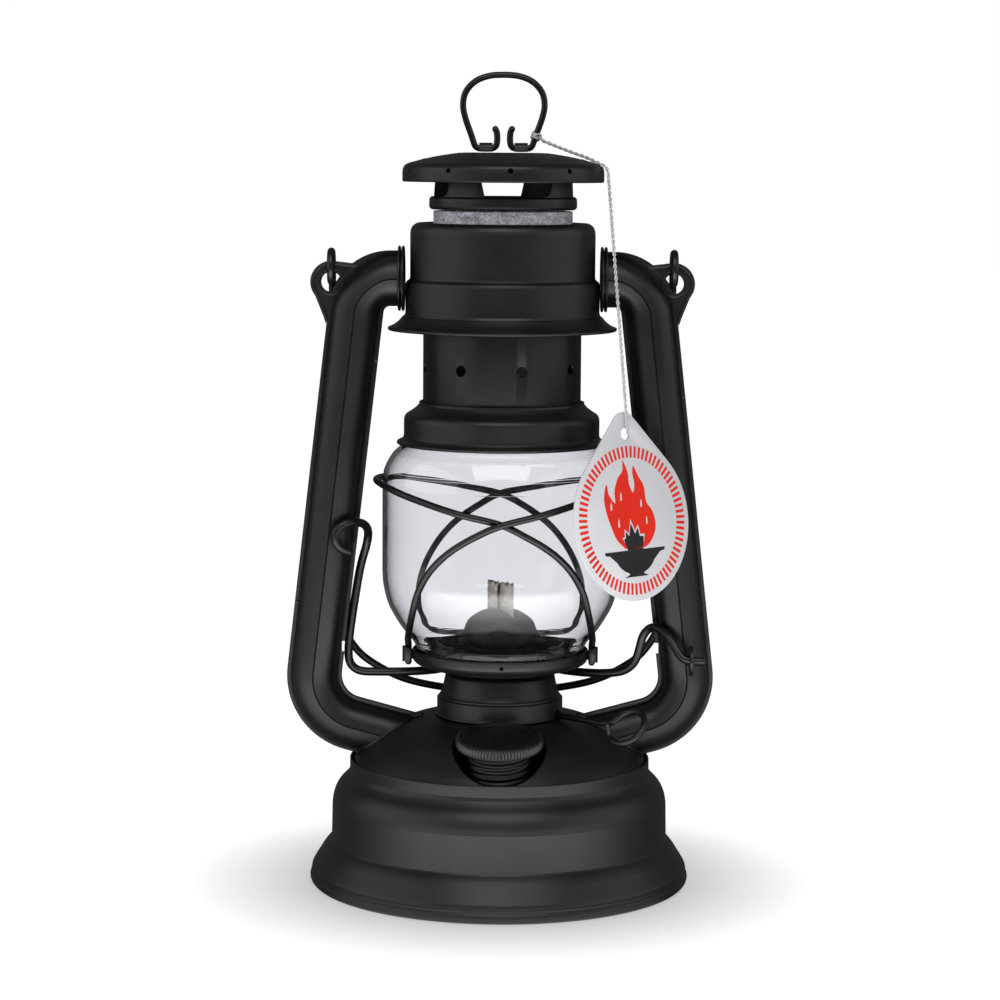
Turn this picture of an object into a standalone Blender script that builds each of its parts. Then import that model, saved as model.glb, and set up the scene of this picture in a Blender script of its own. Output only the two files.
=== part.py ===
"""A small tubular barn lantern with a lifting globe, a sliding chimney, a bail and a screwed filler cap.

Lengths are millimetres, turned into metres by MM when a mesh is made. +Z is up, the filler faces -Y, and the
origin is on the lantern's axis in the plane that its foot stands on.
"""

import math

import bpy
import bmesh
from mathutils import Matrix, Vector

MM = 0.001
GAP = 0.3  # kept between pieces that touch on the real lantern
SHEET = 0.7  # sheet steel
STEPS = 28  # facets of a large turned piece
FEW = 24  # facets of a smaller one
COARSE = 30.0  # longer than any gap between the points of a wire, so that none is added

# Tank
FOOT_R = 66.7
SKIRT_TOP_R, SKIRT_TOP_Z = 59.1, 15.2
DOME_R, DOME_EDGE_Z = 52.7, 44.3
DOME_HOLE_R, DOME_TOP_R, DOME_TOP_Z = 18.6, 22.0, 59.1
DIVIDER_Z = 40.6

# Filler: its axis leans forward, and its places are measured down from the top of the cap
FILLER_TOP = Vector((0, -38.0, 58.9))
FILLER_LEAN = 9.6
CAP_R, CAP_H = 15.0, 4.0
NECK_R, NECK_FOOT = 10.8, 22.0
THREAD_PITCH, THREADS = 2.3, 4

# Burner
BURNER_SKIRT_R, BURNER_SKIRT_Z, BURNER_STEP_Z = 22.1, 59.7, 66.2
BURNER_NECK_R, BURNER_TOP_R, BURNER_TOP_Z = 20.4, 19.2, 74.4
CONE_R, CONE_FOOT_Z, CONE_TOP_Z, CONE_FLANGE_R = 13.4, 74.9, 97.3, 15.0
WICK_TURN = -44.0  # the flat of the wick, from +X
WICK_WIDTH, WICK_THICK, WICK_TOP_Z, WICK_FOOT_Z = 12.7, 2.4, 105.8, 18.0
SHAFT_Z, SHAFT_OFFSET, SHAFT_R = 60.6, 7.4, 1.1
SHAFT_BACK, SHAFT_END = -9.0, 45.2  # measured along the shaft
KEY_AT, KEY_R, KEY_WIRE, KEY_TURN = 53.45, 6.9, 1.05, 45.0
WHEEL_R, WHEEL_APART, WHEEL_TEETH = 5.9, 6.4, 10

# Side tubes: the centreline's corners on the right, in x and z, with the radius of each bend
TUBE_CORNERS = [(34.0, 212.3, 0), (49.65, 212.3, 12.0), (66.94, 59.61, 17.8), (27.0, 48.77, 0)]
TUBE_HALF, CHANNEL_HALF, CHANNEL_DEPTH = 9.8, 7.8, 8.5
BEND_STEPS = 6
EAR_X, EAR_Z, EAR_R, EAR_HOLE_R = 59.4, 210.9, 7.3, 3.5
NOTCH_Z, NOTCH_H, NOTCH_DEEP = 83.0, 4.0, 1.2

# Hood
HOOD_TOP_R, HOOD_TOP_Z, HOOD_STEP_Z, HOOD_LOW_R = 32.1, 231.7, 211.6, 33.7
HOOD_LIP_R, HOOD_LIP_Z = 39.8, 195.3
HOOD_HOLE_R = 24.9

# Globe and its carrier
GLOBE_R, GLASS = 41.5, 1.6
PLATE_R, PLATE_RIM_Z, PLATE_FOOT_Z, PLATE_HOLE_R = 31.0, 82.7, 75.2, 15.4
GUARD_R, GUARD_CROSS_R, GUARD_WIRE = 43.7, 44.7, 1.2
GUARD_FOOT, GUARD_BAR_Y, GUARD_BAR_Z = (32.1, -5.0), 33.2, 82.6
LIFT_WIRE = 1.5

# Chimney
BELL_LIP_R, BELL_LIP_Z, BELL_R = 36.6, 155.2, 34.1
CHIMNEY_R, CHIMNEY_FOOT_Z, CHIMNEY_TOP_Z = 27.5, 168.8, 197.0
SLEEVE_R, SLEEVE_FOOT_Z, SLEEVE_TOP_Z = 24.1, 188.0, 235.8
CROWN_TOP_Z = 250.0
TOP_R, TOP_EDGE_Z, TOP_Z = 34.9, 245.7, 255.8
RING_Z, RING_WIRE = 257.2, 1.1

# Bail and tag
BAIL_Z, BAIL_LOOP_R, BAIL_WIRE = 216.3, 5.3, 1.35
TAG_CENTRE, TAG_YAW, TAG_LEAN = Vector((44.5, -29.0, 131.8)), 43.0, -8.0
TAG_R, TAG_TIP, TAG_HOLE, TAG_THICK = 27.4, 37.0, 29.5, 0.6
STRING_R = 0.6

BLACK = ((0.012, 0.012, 0.013), 0.42, 0.0)
ZINC = ((0.45, 0.46, 0.47), 0.45, 0.9)
COLOURS = {
    "black_steel": BLACK,
    "black_wire": ((0.01, 0.01, 0.01), 0.35, 0.0),
    "zinc": ZINC,
    "spring_steel": ((0.3, 0.3, 0.31), 0.35, 1.0),
    "brass": ((0.6, 0.42, 0.16), 0.35, 1.0),
    "glass": ((0.9, 0.93, 0.95), 0.02, 0.0),
    "cotton": ((0.8, 0.74, 0.62), 0.95, 0.0),
    "cork": ((0.35, 0.22, 0.12), 0.9, 0.0),
    "card": ((0.8, 0.8, 0.81), 0.5, 0.0),
    "string": ((0.7, 0.7, 0.72), 0.6, 0.0),
}


# ---------------------------------------------------------------- helpers


def collection(name, hidden=False):
    made = bpy.data.collections.new(name)
    bpy.context.scene.collection.children.link(made)
    made.hide_render = hidden
    return made


def material(slot):
    found = bpy.data.materials.get(slot)
    if found:
        return found
    colour, roughness, metallic = COLOURS[slot]
    made = bpy.data.materials.new(slot)
    made.use_nodes = True
    shader = made.node_tree.nodes["Principled BSDF"]
    shader.inputs["Base Color"].default_value = (*colour, 1)
    shader.inputs["Roughness"].default_value = roughness
    shader.inputs["Metallic"].default_value = metallic
    if slot == "glass":
        shader.inputs["Transmission Weight"].default_value = 1.0
    return made


def place(obj, slot):
    """Puts an object among the parts, or among the cutters when it has no material."""
    if slot:
        obj.data.materials.append(material(slot))
        PARTS.objects.link(obj)
    else:
        CUTTERS.objects.link(obj)
        obj.hide_render = True
        obj.display_type = "WIRE"
    return obj


def arc(r, z, radius, start, end, count):
    """Points on an arc about (r, z), from one angle to another in degrees, from +r towards +z."""
    angles = [math.radians(start + (end - start) * i / count) for i in range(count + 1)]
    return [(r + radius * math.cos(a), z + radius * math.sin(a)) for a in angles]


def offset(line, distance):
    """The line moved to its right-hand side by a distance, with mitred corners."""
    moved = []
    for i, point in enumerate(line):
        sides = [line[max(i - 1, 0)], point, line[min(i + 1, len(line) - 1)]]
        normals = []
        for a, b in zip(sides, sides[1:]):
            along = Vector(b) - Vector(a)
            if along.length > 1e-9:
                along.normalize()
                normals.append(Vector((along.y, -along.x)))
        mean = sum(normals, Vector((0, 0))).normalized()
        moved.append(tuple(Vector(point) + mean * distance / max(mean.dot(normals[0]), 0.4)))
    return moved


def sheet(line, thickness=SHEET):
    """The closed profile of a sheet from its outer line, which runs top to bottom."""
    inner = offset(line, thickness)
    if line[0][0] == 0:
        inner[0] = (0, line[0][1] - thickness)
    return list(line) + inner[::-1]


def turned(name, profile, slot, steps=STEPS):
    """A profile of (radius, height) turned about Z."""
    mesh = bpy.data.meshes.new(name)
    edges = [(i, i + 1) for i in range(len(profile) - 1)]
    if profile[0][0] > 0:
        edges.append((len(profile) - 1, 0))
    mesh.from_pydata([(r * MM, 0, z * MM) for r, z in profile], edges, [])
    obj = place(bpy.data.objects.new(name, mesh), slot)
    screw = obj.modifiers.new("Turn", "SCREW")
    screw.steps = screw.render_steps = steps
    screw.use_merge_vertices = True
    screw.merge_threshold = 1e-6
    return obj


def meshed(curve_obj, slot):
    """The closed mesh of a curve object, which it replaces."""
    bpy.context.scene.collection.objects.link(curve_obj)
    graph = bpy.context.evaluated_depsgraph_get()
    mesh = bpy.data.meshes.new_from_object(curve_obj.evaluated_get(graph))
    name, matrix = curve_obj.name, curve_obj.matrix_world.copy()
    bpy.data.objects.remove(curve_obj)
    mesh.name = name
    shape = bmesh.new()
    shape.from_mesh(mesh)
    bmesh.ops.remove_doubles(shape, verts=shape.verts, dist=1e-6)
    shape.to_mesh(mesh)
    shape.free()
    mesh.materials.clear()
    obj = place(bpy.data.objects.new(name, mesh), slot)
    obj.matrix_world = matrix
    return obj


def plate(name, outlines, thickness, slot, matrix=None):
    """Flat outlines in X and Y, the first with the others as holes in it, made a plate about Z = 0."""
    curve = bpy.data.curves.new(name, "CURVE")
    curve.dimensions = "2D"
    curve.fill_mode = "BOTH"
    curve.extrude = thickness / 2 * MM
    for outline in outlines:
        spline = curve.splines.new("POLY")
        spline.points.add(len(outline) - 1)
        for point, (x, y) in zip(spline.points, outline):
            point.co = (x * MM, y * MM, 0, 1)
        spline.use_cyclic_u = True
    obj = meshed(bpy.data.objects.new(name, curve), slot)
    if matrix:
        obj.matrix_world = matrix
    return obj


def smooth_line(points, step):
    """Points about a step apart on the smooth curve through the given ones."""
    knots = [Vector(p) for p in points]
    knots = [2 * knots[0] - knots[1], *knots, 2 * knots[-1] - knots[-2]]
    line = []
    for a, b, c, d in zip(knots, knots[1:], knots[2:], knots[3:]):
        count = max(1, round((c - b).length / step))
        for i in range(count):
            t = i / count
            line.append(
                0.5 * (2 * b + (c - a) * t + (2 * a - 5 * b + 4 * c - d) * t**2 + (3 * b - a - 3 * c + d) * t**3)
            )
    return [*line, knots[-2]]


def wire(name, line, radius, slot, closed=False):
    """A round wire along a line of points."""
    curve = bpy.data.curves.new(name, "CURVE")
    curve.dimensions = "3D"
    curve.bevel_depth = radius * MM
    curve.bevel_resolution = 2
    curve.use_fill_caps = True
    spline = curve.splines.new("POLY")
    spline.points.add(len(line) - 1)
    for point, place_mm in zip(spline.points, line):
        point.co = (*(Vector(place_mm) * MM), 1)
    spline.use_cyclic_u = closed
    return place(bpy.data.objects.new(name, curve), slot)


def block(name, size, centre, slot=None, turn=0.0):
    """A box of a size in X, Y and Z about its centre, turned about Z by degrees."""
    mesh = bpy.data.meshes.new(name)
    shape = bmesh.new()
    bmesh.ops.create_cube(shape, size=1)
    bmesh.ops.scale(shape, vec=Vector(size) * MM, verts=shape.verts)
    shape.to_mesh(mesh)
    shape.free()
    obj = place(bpy.data.objects.new(name, mesh), slot)
    obj.matrix_world = Matrix.Translation(Vector(centre) * MM) @ spin(turn)
    return obj


def rods(name, radius, length, places, slot=None, sides=12, end_radius=None):
    """Round rods, each centred on a matrix's origin and lying along its Z, as one object."""
    mesh = bpy.data.meshes.new(name)
    shape = bmesh.new()
    for matrix in places:
        bmesh.ops.create_cone(
            shape, cap_ends=True, segments=sides, radius1=(radius if end_radius is None else end_radius) * MM,
            radius2=radius * MM, depth=length * MM, matrix=matrix,
        )
    shape.to_mesh(mesh)
    shape.free()
    return place(bpy.data.objects.new(name, mesh), slot)


def at(x, y, z):
    return Matrix.Translation(Vector((x, y, z)) * MM)


def spin(degrees, about="Z"):
    return Matrix.Rotation(math.radians(degrees), 4, about)


def facing(direction):
    """The turn that takes Z to a direction."""
    return Vector(direction).to_track_quat("Z", "Y").to_matrix().to_4x4()


def boolean(obj, other, operation="DIFFERENCE"):
    step = obj.modifiers.new(other.name, "BOOLEAN")
    step.operation = operation
    step.object = other
    return obj


def axis(name, x, y, z, turn=None):
    """An empty on a joint's axis."""
    empty = bpy.data.objects.new(name, None)
    PARTS.objects.link(empty)
    empty.matrix_world = at(x, y, z) @ (turn or Matrix.Identity(4))
    return empty


def hang(empty, *objects):
    """Parents objects to an empty where they are."""
    bpy.context.view_layer.update()
    for obj in objects:
        obj.parent = empty
        obj.matrix_parent_inverse = empty.matrix_world.inverted()


# ---------------------------------------------------------------- tank


def dome_line():
    """The dome's outer line from the burner's opening out to its edge."""
    shoulder = [(30, 58.0), (38, 54.8), (46, 49.0), (DOME_R - 1.2, DOME_EDGE_Z - 1.0)]
    return [(DOME_HOLE_R, DOME_TOP_Z), (DOME_TOP_R, DOME_TOP_Z), *shoulder]


def filler_matrix():
    """The filler's own frame: its origin is the middle of the cap's top, and Z points out of the neck."""
    return at(*FILLER_TOP) @ spin(FILLER_LEAN, "X")


def make_tank():
    turned("tank_pan", [
        (0.0, 5.2), (56.5, 5.2), (60.5, 1.6), (64.2, 1.6), (64.2, 0.0), (60.0, 0.0), (55.8, 4.2), (0.0, 4.2),
    ], "black_steel")
    ring_wall = [(DOME_R, DOME_EDGE_Z), (DOME_R, 39.0)]
    shoulder = [(56.3, 35.5), (58.2, 32.0), (58.9, 28.6)]
    skirt = [(SKIRT_TOP_R, SKIRT_TOP_Z), (61.6, 12.9), (64.9, 7.6), (65.9, 5.4)]
    foot = [(FOOT_R, 4.4), (FOOT_R, 1.2), (66.0, 0.0)]
    turned("tank_shell", sheet(ring_wall + shoulder + skirt + foot), "black_steel")

    dome = turned("tank_dome", sheet(dome_line()), "black_steel")
    filled = [(0.0, DOME_TOP_Z), *dome_line()[1:], (DOME_R - 1.9, 30.0), (0.0, 30.0)]
    under_dome = turned("under_dome", filled, None)
    frame = filler_matrix()
    pocket = rods("pocket", 17.8, 15.6, [frame @ at(0, 0, -7.9)], sides=24, end_radius=13.9)
    boolean(pocket, under_dome, "INTERSECT")
    pocket_room = rods("pocket_room", 18.0, 20.0, [frame @ at(0, 0, -5.0)], sides=24, end_radius=13.2)
    neck_hole = rods("neck_hole", NECK_R + GAP, 30.0, [frame @ at(0, 0, -15.0)], sides=24)
    boolean(dome, pocket, "UNION")
    boolean(dome, pocket_room)
    boolean(dome, neck_hole)

    divider = turned("tank_divider", sheet([(12.0, DIVIDER_Z), (51.2, DIVIDER_Z)]), "black_steel")
    boolean(divider, neck_hole)
    collar_r = DOME_HOLE_R - SHEET
    turned("burner_ring", sheet([(collar_r, 58.9), (collar_r, 53.0)]), "black_steel", FEW)


def make_filler():
    frame = filler_matrix()
    crest, root = NECK_R, NECK_R - 0.8
    line = [(root - 0.4, -CAP_H + 1.2)]
    for i in range(THREADS):
        top = -CAP_H + 0.6 - i * THREAD_PITCH
        line += [(root, top), (crest, top - 0.5 * THREAD_PITCH)]
    line.append((root, -NECK_FOOT))
    neck = turned("filler_neck", sheet(line, 1.2), "black_steel", 20)
    gasket = turned("filler_gasket", [(10.9, -1.2), (10.9, -2.4), (7.0, -2.4), (7.0, -1.2)], "cork", 20)
    rim = [(0.0, -0.6), (11.2, -0.6), (12.4, 0.0), (14.2, 0.0), (CAP_R, -0.7), (CAP_R, -CAP_H)]
    cap = turned("filler_cap", [*rim, (11.4, -CAP_H), (11.4, -1.0), (0.0, -1.0)], "black_steel", 28)
    for obj in (neck, gasket, cap):
        obj.matrix_world = frame
    hang(axis("filler_axis", *FILLER_TOP, spin(FILLER_LEAN, "X")), gasket, cap)


# ---------------------------------------------------------------- burner


def wick_frame(z=0.0):
    """X along the wick's flat."""
    return at(0, 0, z) @ spin(WICK_TURN)


def rectangle(width, depth):
    return [(x * width / 2, y * depth / 2) for x, y in ((-1, -1), (1, -1), (1, 1), (-1, 1))]


def make_burner():
    frame = wick_frame()
    shaft_line = frame @ at(0, SHAFT_OFFSET, SHAFT_Z) @ facing((1, 0, 0))

    body = turned("burner_body", sheet([
        (14.6, BURNER_TOP_Z), (BURNER_TOP_R - 0.6, BURNER_TOP_Z), (BURNER_TOP_R, BURNER_TOP_Z - 0.8),
        (BURNER_NECK_R, BURNER_STEP_Z + 1.4), (BURNER_SKIRT_R - 0.6, BURNER_STEP_Z + 0.4),
        (BURNER_SKIRT_R, BURNER_STEP_Z - 0.6),
        (BURNER_SKIRT_R, BURNER_SKIRT_Z),
    ]), "black_steel", 28)
    boolean(body, rods("shaft_hole", 2.4, 30.0, [shaft_line @ at(0, 0, 20.0)]))

    holder = turned("burner_plate", sheet([(0.0, 72.4), (18.0, 72.4)]), "black_steel", 24)
    boolean(holder, block("tube_slot", (14.9, 4.7, 6), (0, 0, 72.4), turn=WICK_TURN))
    tube = plate("wick_tube", [rectangle(14.1, 3.9), rectangle(13.3, 3.1)], 46.0, "brass",
                 frame @ at(0, 0, 71.0))
    windows = block("wheel_windows", (9.6, 1.2, 13.0), tuple((frame @ at(0, 1.9, SHAFT_Z)).translation / MM),
                    turn=WICK_TURN)
    boolean(tube, windows)

    dome = arc(0, CONE_TOP_Z - 11.0, 1, 90, 0, 5)
    dome = [(CONE_R * r, CONE_TOP_Z - 11.0 + 11.0 * (z - CONE_TOP_Z + 11.0)) for r, z in dome]
    dome[0] = (0.0, CONE_TOP_Z)
    flange = [(CONE_R, 85.5), (CONE_FLANGE_R, 85.4), (CONE_FLANGE_R, 84.9), (CONE_R, 84.8)]
    inside = [(r * (CONE_R - 0.6) / CONE_R, z - 0.6) for r, z in dome]
    inside[0] = (0.0, CONE_TOP_Z - 0.6)
    foot = [(CONE_R, CONE_FOOT_Z), (CONE_R - 0.6, CONE_FOOT_Z)]
    cone = turned("burner_cone", [*dome, *flange, *foot, *inside[::-1]], "black_steel", FEW)
    boolean(cone, block("flame_slot", (24.0, 5.0, 14.0), (0, 0, 96.0), turn=WICK_TURN))

    wick = block("wick", (WICK_WIDTH, WICK_THICK, WICK_TOP_Z - WICK_FOOT_Z),
                 (0, 0, (WICK_TOP_Z + WICK_FOOT_Z) / 2), "cotton", WICK_TURN)

    middle = shaft_line @ at(0, 0, (SHAFT_BACK + SHAFT_END) / 2)
    shaft = rods("wick_shaft", SHAFT_R, SHAFT_END - SHAFT_BACK, [middle], "black_wire")
    tips = [(math.pi * i / WHEEL_TEETH, WHEEL_R if i % 2 else WHEEL_R - 1.4) for i in range(2 * WHEEL_TEETH)]
    star = [(r * math.cos(a), r * math.sin(a)) for a, r in tips]
    wheels = [
        plate(f"wick_wheel_{i + 1}", [star, ring_points(SHAFT_R + GAP, 10)], 0.8, "brass",
              shaft_line @ at(0, 0, (i - 0.5) * WHEEL_APART)) for i in range(2)
    ]
    key = [(KEY_R * math.sin(t), 0, -KEY_R * math.cos(t)) for t in (math.tau * i / 16 for i in range(16))]
    knob = wire("wick_knob", key, KEY_WIRE, "black_wire", closed=True)
    knob.matrix_world = shaft_line @ spin(KEY_TURN) @ at(0, 0, KEY_AT)
    hang(axis("wick_shaft_axis", *(shaft_line.translation / MM)), shaft, knob, *wheels)
    hang(axis("wick_axis", 0, 0, WICK_TOP_Z), wick)


def ring_points(radius, count):
    return [(radius * math.cos(a), radius * math.sin(a)) for a in (math.tau * i / count for i in range(count))]


# ---------------------------------------------------------------- side tubes


def tube_stations():
    """(point, normal, share of the upper bend) along the right tube's centreline; the normal points outwards."""
    stations = []
    for i, (x, z, radius) in enumerate(TUBE_CORNERS):
        corner = Vector((x, z))
        if not radius:
            along = Vector(TUBE_CORNERS[1][:2]) - corner if i == 0 else corner - Vector(TUBE_CORNERS[-2][:2])
            along.normalize()
            stations.append((corner, Vector((-along.y, along.x)), 0.0))
            continue
        come = (corner - Vector(TUBE_CORNERS[i - 1][:2])).normalized()
        leave = (Vector(TUBE_CORNERS[i + 1][:2]) - corner).normalized()
        turn = come.angle(leave)
        start = corner - come * radius * math.tan(turn / 2)
        centre = start + Vector((come.y, -come.x)) * radius
        for k in range(BEND_STEPS + 1):
            share = k / BEND_STEPS
            normal = Vector((-come.y, come.x))
            normal.rotate(Matrix.Rotation(-turn * share, 2))
            stations.append((centre + normal * radius, normal, math.sin(math.pi * share) if i == 1 else 0.0))
    return stations


CHANNEL = [(1.0, 0.0), (0.93, 0.42), (0.58, 0.84), (0.0, 1.0)]


def half_section(narrowed):
    """One half of the tube's section: places across it and depths from the seam, outer skin then inner skin."""
    low, high = -CHANNEL_HALF, CHANNEL_HALF - 1.8 * narrowed
    middle, half = (low + high) / 2, (high - low) / 2
    seam = GAP / 2
    across = [(-share, deep) for share, deep in CHANNEL] + CHANNEL[-2::-1]
    outer = [(middle + share * half, seam + SHEET + deep * CHANNEL_DEPTH) for share, deep in across]
    inner = [(middle + share * (half - SHEET), seam + deep * CHANNEL_DEPTH) for share, deep in across]
    flange = TUBE_HALF
    return ([(-flange, seam + SHEET), *outer, (flange, seam + SHEET)]
            + [(flange, seam), *inner[::-1], (-flange, seam)])


def make_tube_half(name, side, face, cutters):
    """side is -1 for the left and 1 for the right, face is -1 for the front half and 1 for the rear half."""
    mesh = bpy.data.meshes.new(name)
    shape = bmesh.new()
    rings = []
    for point, normal, narrowed in tube_stations():
        ring = []
        for across, deep in half_section(narrowed):
            spot = point + normal * across
            ring.append(shape.verts.new(Vector((side * spot.x, face * deep, spot.y)) * MM))
        rings.append(ring)
    for ring, following in zip(rings, rings[1:]):
        count = len(ring)
        for i in range(count):
            j = (i + 1) % count
            shape.faces.new((ring[i], following[i], following[j], ring[j]))
    shape.faces.new(rings[0])
    shape.faces.new(rings[-1][::-1])
    bmesh.ops.recalc_face_normals(shape, faces=shape.faces)
    shape.to_mesh(mesh)
    shape.free()
    obj = place(bpy.data.objects.new(name, mesh), "black_steel")
    ear = plate(name + "_ear", [ear_outline()], SHEET - 0.1, None)
    lie = spin(90, "X")
    ear.matrix_world = at(0, face * (GAP + SHEET) / 2, 0) @ Matrix.Diagonal((side, 1, 1, 1)) @ lie
    boolean(obj, ear, "UNION")
    for cutter in cutters:
        boolean(obj, cutter)
    return obj


def ear_outline():
    """The ear's flat web and ring, in x and z on the right side."""
    around = [(EAR_X + EAR_R * math.cos(a), EAR_Z + EAR_R * math.sin(a))
              for a in (math.radians(105 - 12.5 * i) for i in range(12))]
    return [(55.2, 204.5), (51.2, 212.0), (50.2, 216.9), *around, (61.6, 198.0), (60.4, 197.0)][::-1]


def make_tubes():
    over_dome = [(0.0, 59.6), (22.0, 59.6), (30.2, 58.4), (38.3, 55.2), (46.4, 49.4), (53.2, 44.2)]
    trim = turned("dome_clearance", [*over_dome, (53.2, 36.0), (0.0, 36.0)], None)
    ear_places = [at(s * EAR_X, 0, EAR_Z) @ facing((0, 1, 0)) for s in (-1, 1)]
    holes = rods("ear_holes", EAR_HOLE_R, 8, ear_places, sides=16)
    lean = (TUBE_CORNERS[2][0] - TUBE_CORNERS[1][0]) / (TUBE_CORNERS[1][1] - TUBE_CORNERS[2][1])
    edge = TUBE_CORNERS[1][0] + (TUBE_CORNERS[1][1] - NOTCH_Z) * lean - TUBE_HALF
    for side, word in ((-1, "left"), (1, "right")):
        notch = block(f"{word}_notch", (4.0, 6.0, NOTCH_H), (side * (edge - 2.0 + NOTCH_DEEP), 0, NOTCH_Z))
        for face, half in ((-1, "front"), (1, "rear")):
            make_tube_half(f"{word}_tube_{half}", side, face, (trim, holes, notch))
        plate(f"{word}_tube_collar", [ring_points(11.6, 20), ring_points(10.2, 20)], 1.4, "black_steel",
              at(side * 34.9, 0, TUBE_CORNERS[0][1]) @ facing((1, 0, 0)))


# ---------------------------------------------------------------- hood and chimney


def make_hood():
    hood = turned("hood", sheet([
        (HOOD_HOLE_R, HOOD_TOP_Z - 1.0), (27.6, HOOD_TOP_Z - 1.0), (28.6, HOOD_TOP_Z), (30.4, HOOD_TOP_Z - 0.3),
        (HOOD_TOP_R, HOOD_TOP_Z - 3.2),
        (HOOD_TOP_R, HOOD_STEP_Z + 0.6), (HOOD_LOW_R, HOOD_STEP_Z - 0.9), (HOOD_LOW_R, 200.6), (35.4, 197.8),
        (HOOD_LIP_R, HOOD_LIP_Z),
    ]), "black_steel")
    boolean(hood, rods("arm_holes", 7.4, 90, [at(0, 0, TUBE_CORNERS[0][1]) @ facing((1, 0, 0))], sides=10))
    guide = [(32.4, 201.6), (32.4, 200.9), (28.6, 200.9), (28.0, 201.5), (28.0, 203.6), (28.6, 203.6), (28.6, 201.6)]
    turned("hood_guide", guide, "black_steel", FEW)
    turns, low, high, radius = 4, 198.2, 228.0, 26.1
    count = turns * 12
    coil = [(radius * math.cos(math.tau * turns * i / count), radius * math.sin(math.tau * turns * i / count),
             low + (high - low) * i / count) for i in range(count + 1)]
    wire("chimney_spring", coil, 0.6, "spring_steel")


def make_chimney():
    bell = turned("chimney_bell", sheet([
        (CHIMNEY_R + 1.3, CHIMNEY_FOOT_Z + 1.2), (CHIMNEY_R + 1.3, CHIMNEY_FOOT_Z), (BELL_R - 0.8, 165.0),
        (BELL_R, 163.8), (BELL_R, 157.6), (BELL_LIP_R, BELL_LIP_Z),
    ]), "black_steel")
    tube = turned("chimney_tube", sheet([
        (24.5, CHIMNEY_TOP_Z), (CHIMNEY_R - 0.5, CHIMNEY_TOP_Z), (CHIMNEY_R, CHIMNEY_TOP_Z - 0.5),
        (CHIMNEY_R, CHIMNEY_FOOT_Z - 0.2),
    ]), "black_steel", FEW)
    vents = [spin(-90 - 30.8 + 45 * i) @ at(CHIMNEY_R, 0, 181.8) @ facing((1, 0, 0)) for i in range(8)]
    boolean(tube, rods("vent_holes", 1.95, 6, vents, sides=8))
    sleeve_line = [(SLEEVE_R, SLEEVE_TOP_Z), (SLEEVE_R, SLEEVE_FOOT_Z)]
    sleeve = turned("chimney_sleeve", sheet(sleeve_line, 0.6), "zinc", FEW)
    crown = turned("vent_crown", sheet([
        (24.9, CROWN_TOP_Z), (24.9, 239.6), (25.6, 238.8), (25.6, 237.0), (25.0, 236.2),
    ], 0.6), "black_steel", FEW)
    windows = [spin(-90 + 14 + 90 * i) @ at(24.0, 0, 242.2) for i in range(4)]
    for i, matrix in enumerate(windows):
        cutter = block(f"crown_window_{i + 1}", (9.0, 26.0, 5.6), (0, 0, 0))
        cutter.matrix_world = matrix
        boolean(crown, cutter)
    cap = turned("chimney_cap", sheet([
        (0.0, TOP_Z), (12.0, TOP_Z), (20.9, 254.9), (26.8, 253.7), (33.6, 251.8), (TOP_R, 250.4),
        (TOP_R, TOP_EDGE_Z),
    ]), "black_steel")
    rim_holes = [spin(-90 + 3.9 + 36 * i) @ at(34.4, 0, 250.2) @ facing((1, 0, 1)) for i in range(10)]
    boolean(cap, rods("rim_holes", 0.9, 6, rim_holes, sides=6))

    saddle = [(3.8, -1.1), (3.8, -0.5), (2.1, -0.4), *arc(0, 0, 2.0, 0, 180, 6),
              (-2.1, -0.4), (-3.8, -0.5), (-3.8, -1.1)]
    saddle += [(-1.42, -1.1), *arc(0, 0, RING_WIRE + GAP, 0, 180, 8)[::-1], (1.42, -1.1)]
    lugs = [
        plate(f"{word}_ring_lug", [saddle], 4.6, "black_steel",
              at(side * 6.1, 0, RING_Z) @ spin(90) @ spin(90, "X"))
        for side, word in ((-1, "left"), (1, "right"))
    ]
    half = [(2.2, 0, 262.8), (2.2, 0, 259.0), (2.6, 0, 257.6), (3.7, 0, RING_Z), (8.5, 0, RING_Z), (10.0, 0, 258.0),
            (11.3, 0, 262.2), (13.2, 0, 267.2), (14.1, 0, 271.8), (13.1, 0, 276.6), (9.6, 0, 280.3), (5.0, 0, 282.0)]
    line = smooth_line([*half, (0, 0, 282.4), *[(-x, y, z) for x, y, z in half[::-1]]], COARSE)
    ring = wire("cap_ring", line, RING_WIRE, "black_wire")
    lift = axis("chimney_slide", 0, 0, CHIMNEY_FOOT_Z)
    hang(lift, bell, tube, sleeve, crown, cap, *lugs, *make_tag())
    hang(axis("ring_axis", 0, 0, RING_Z), ring)


# ---------------------------------------------------------------- globe carrier


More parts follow.
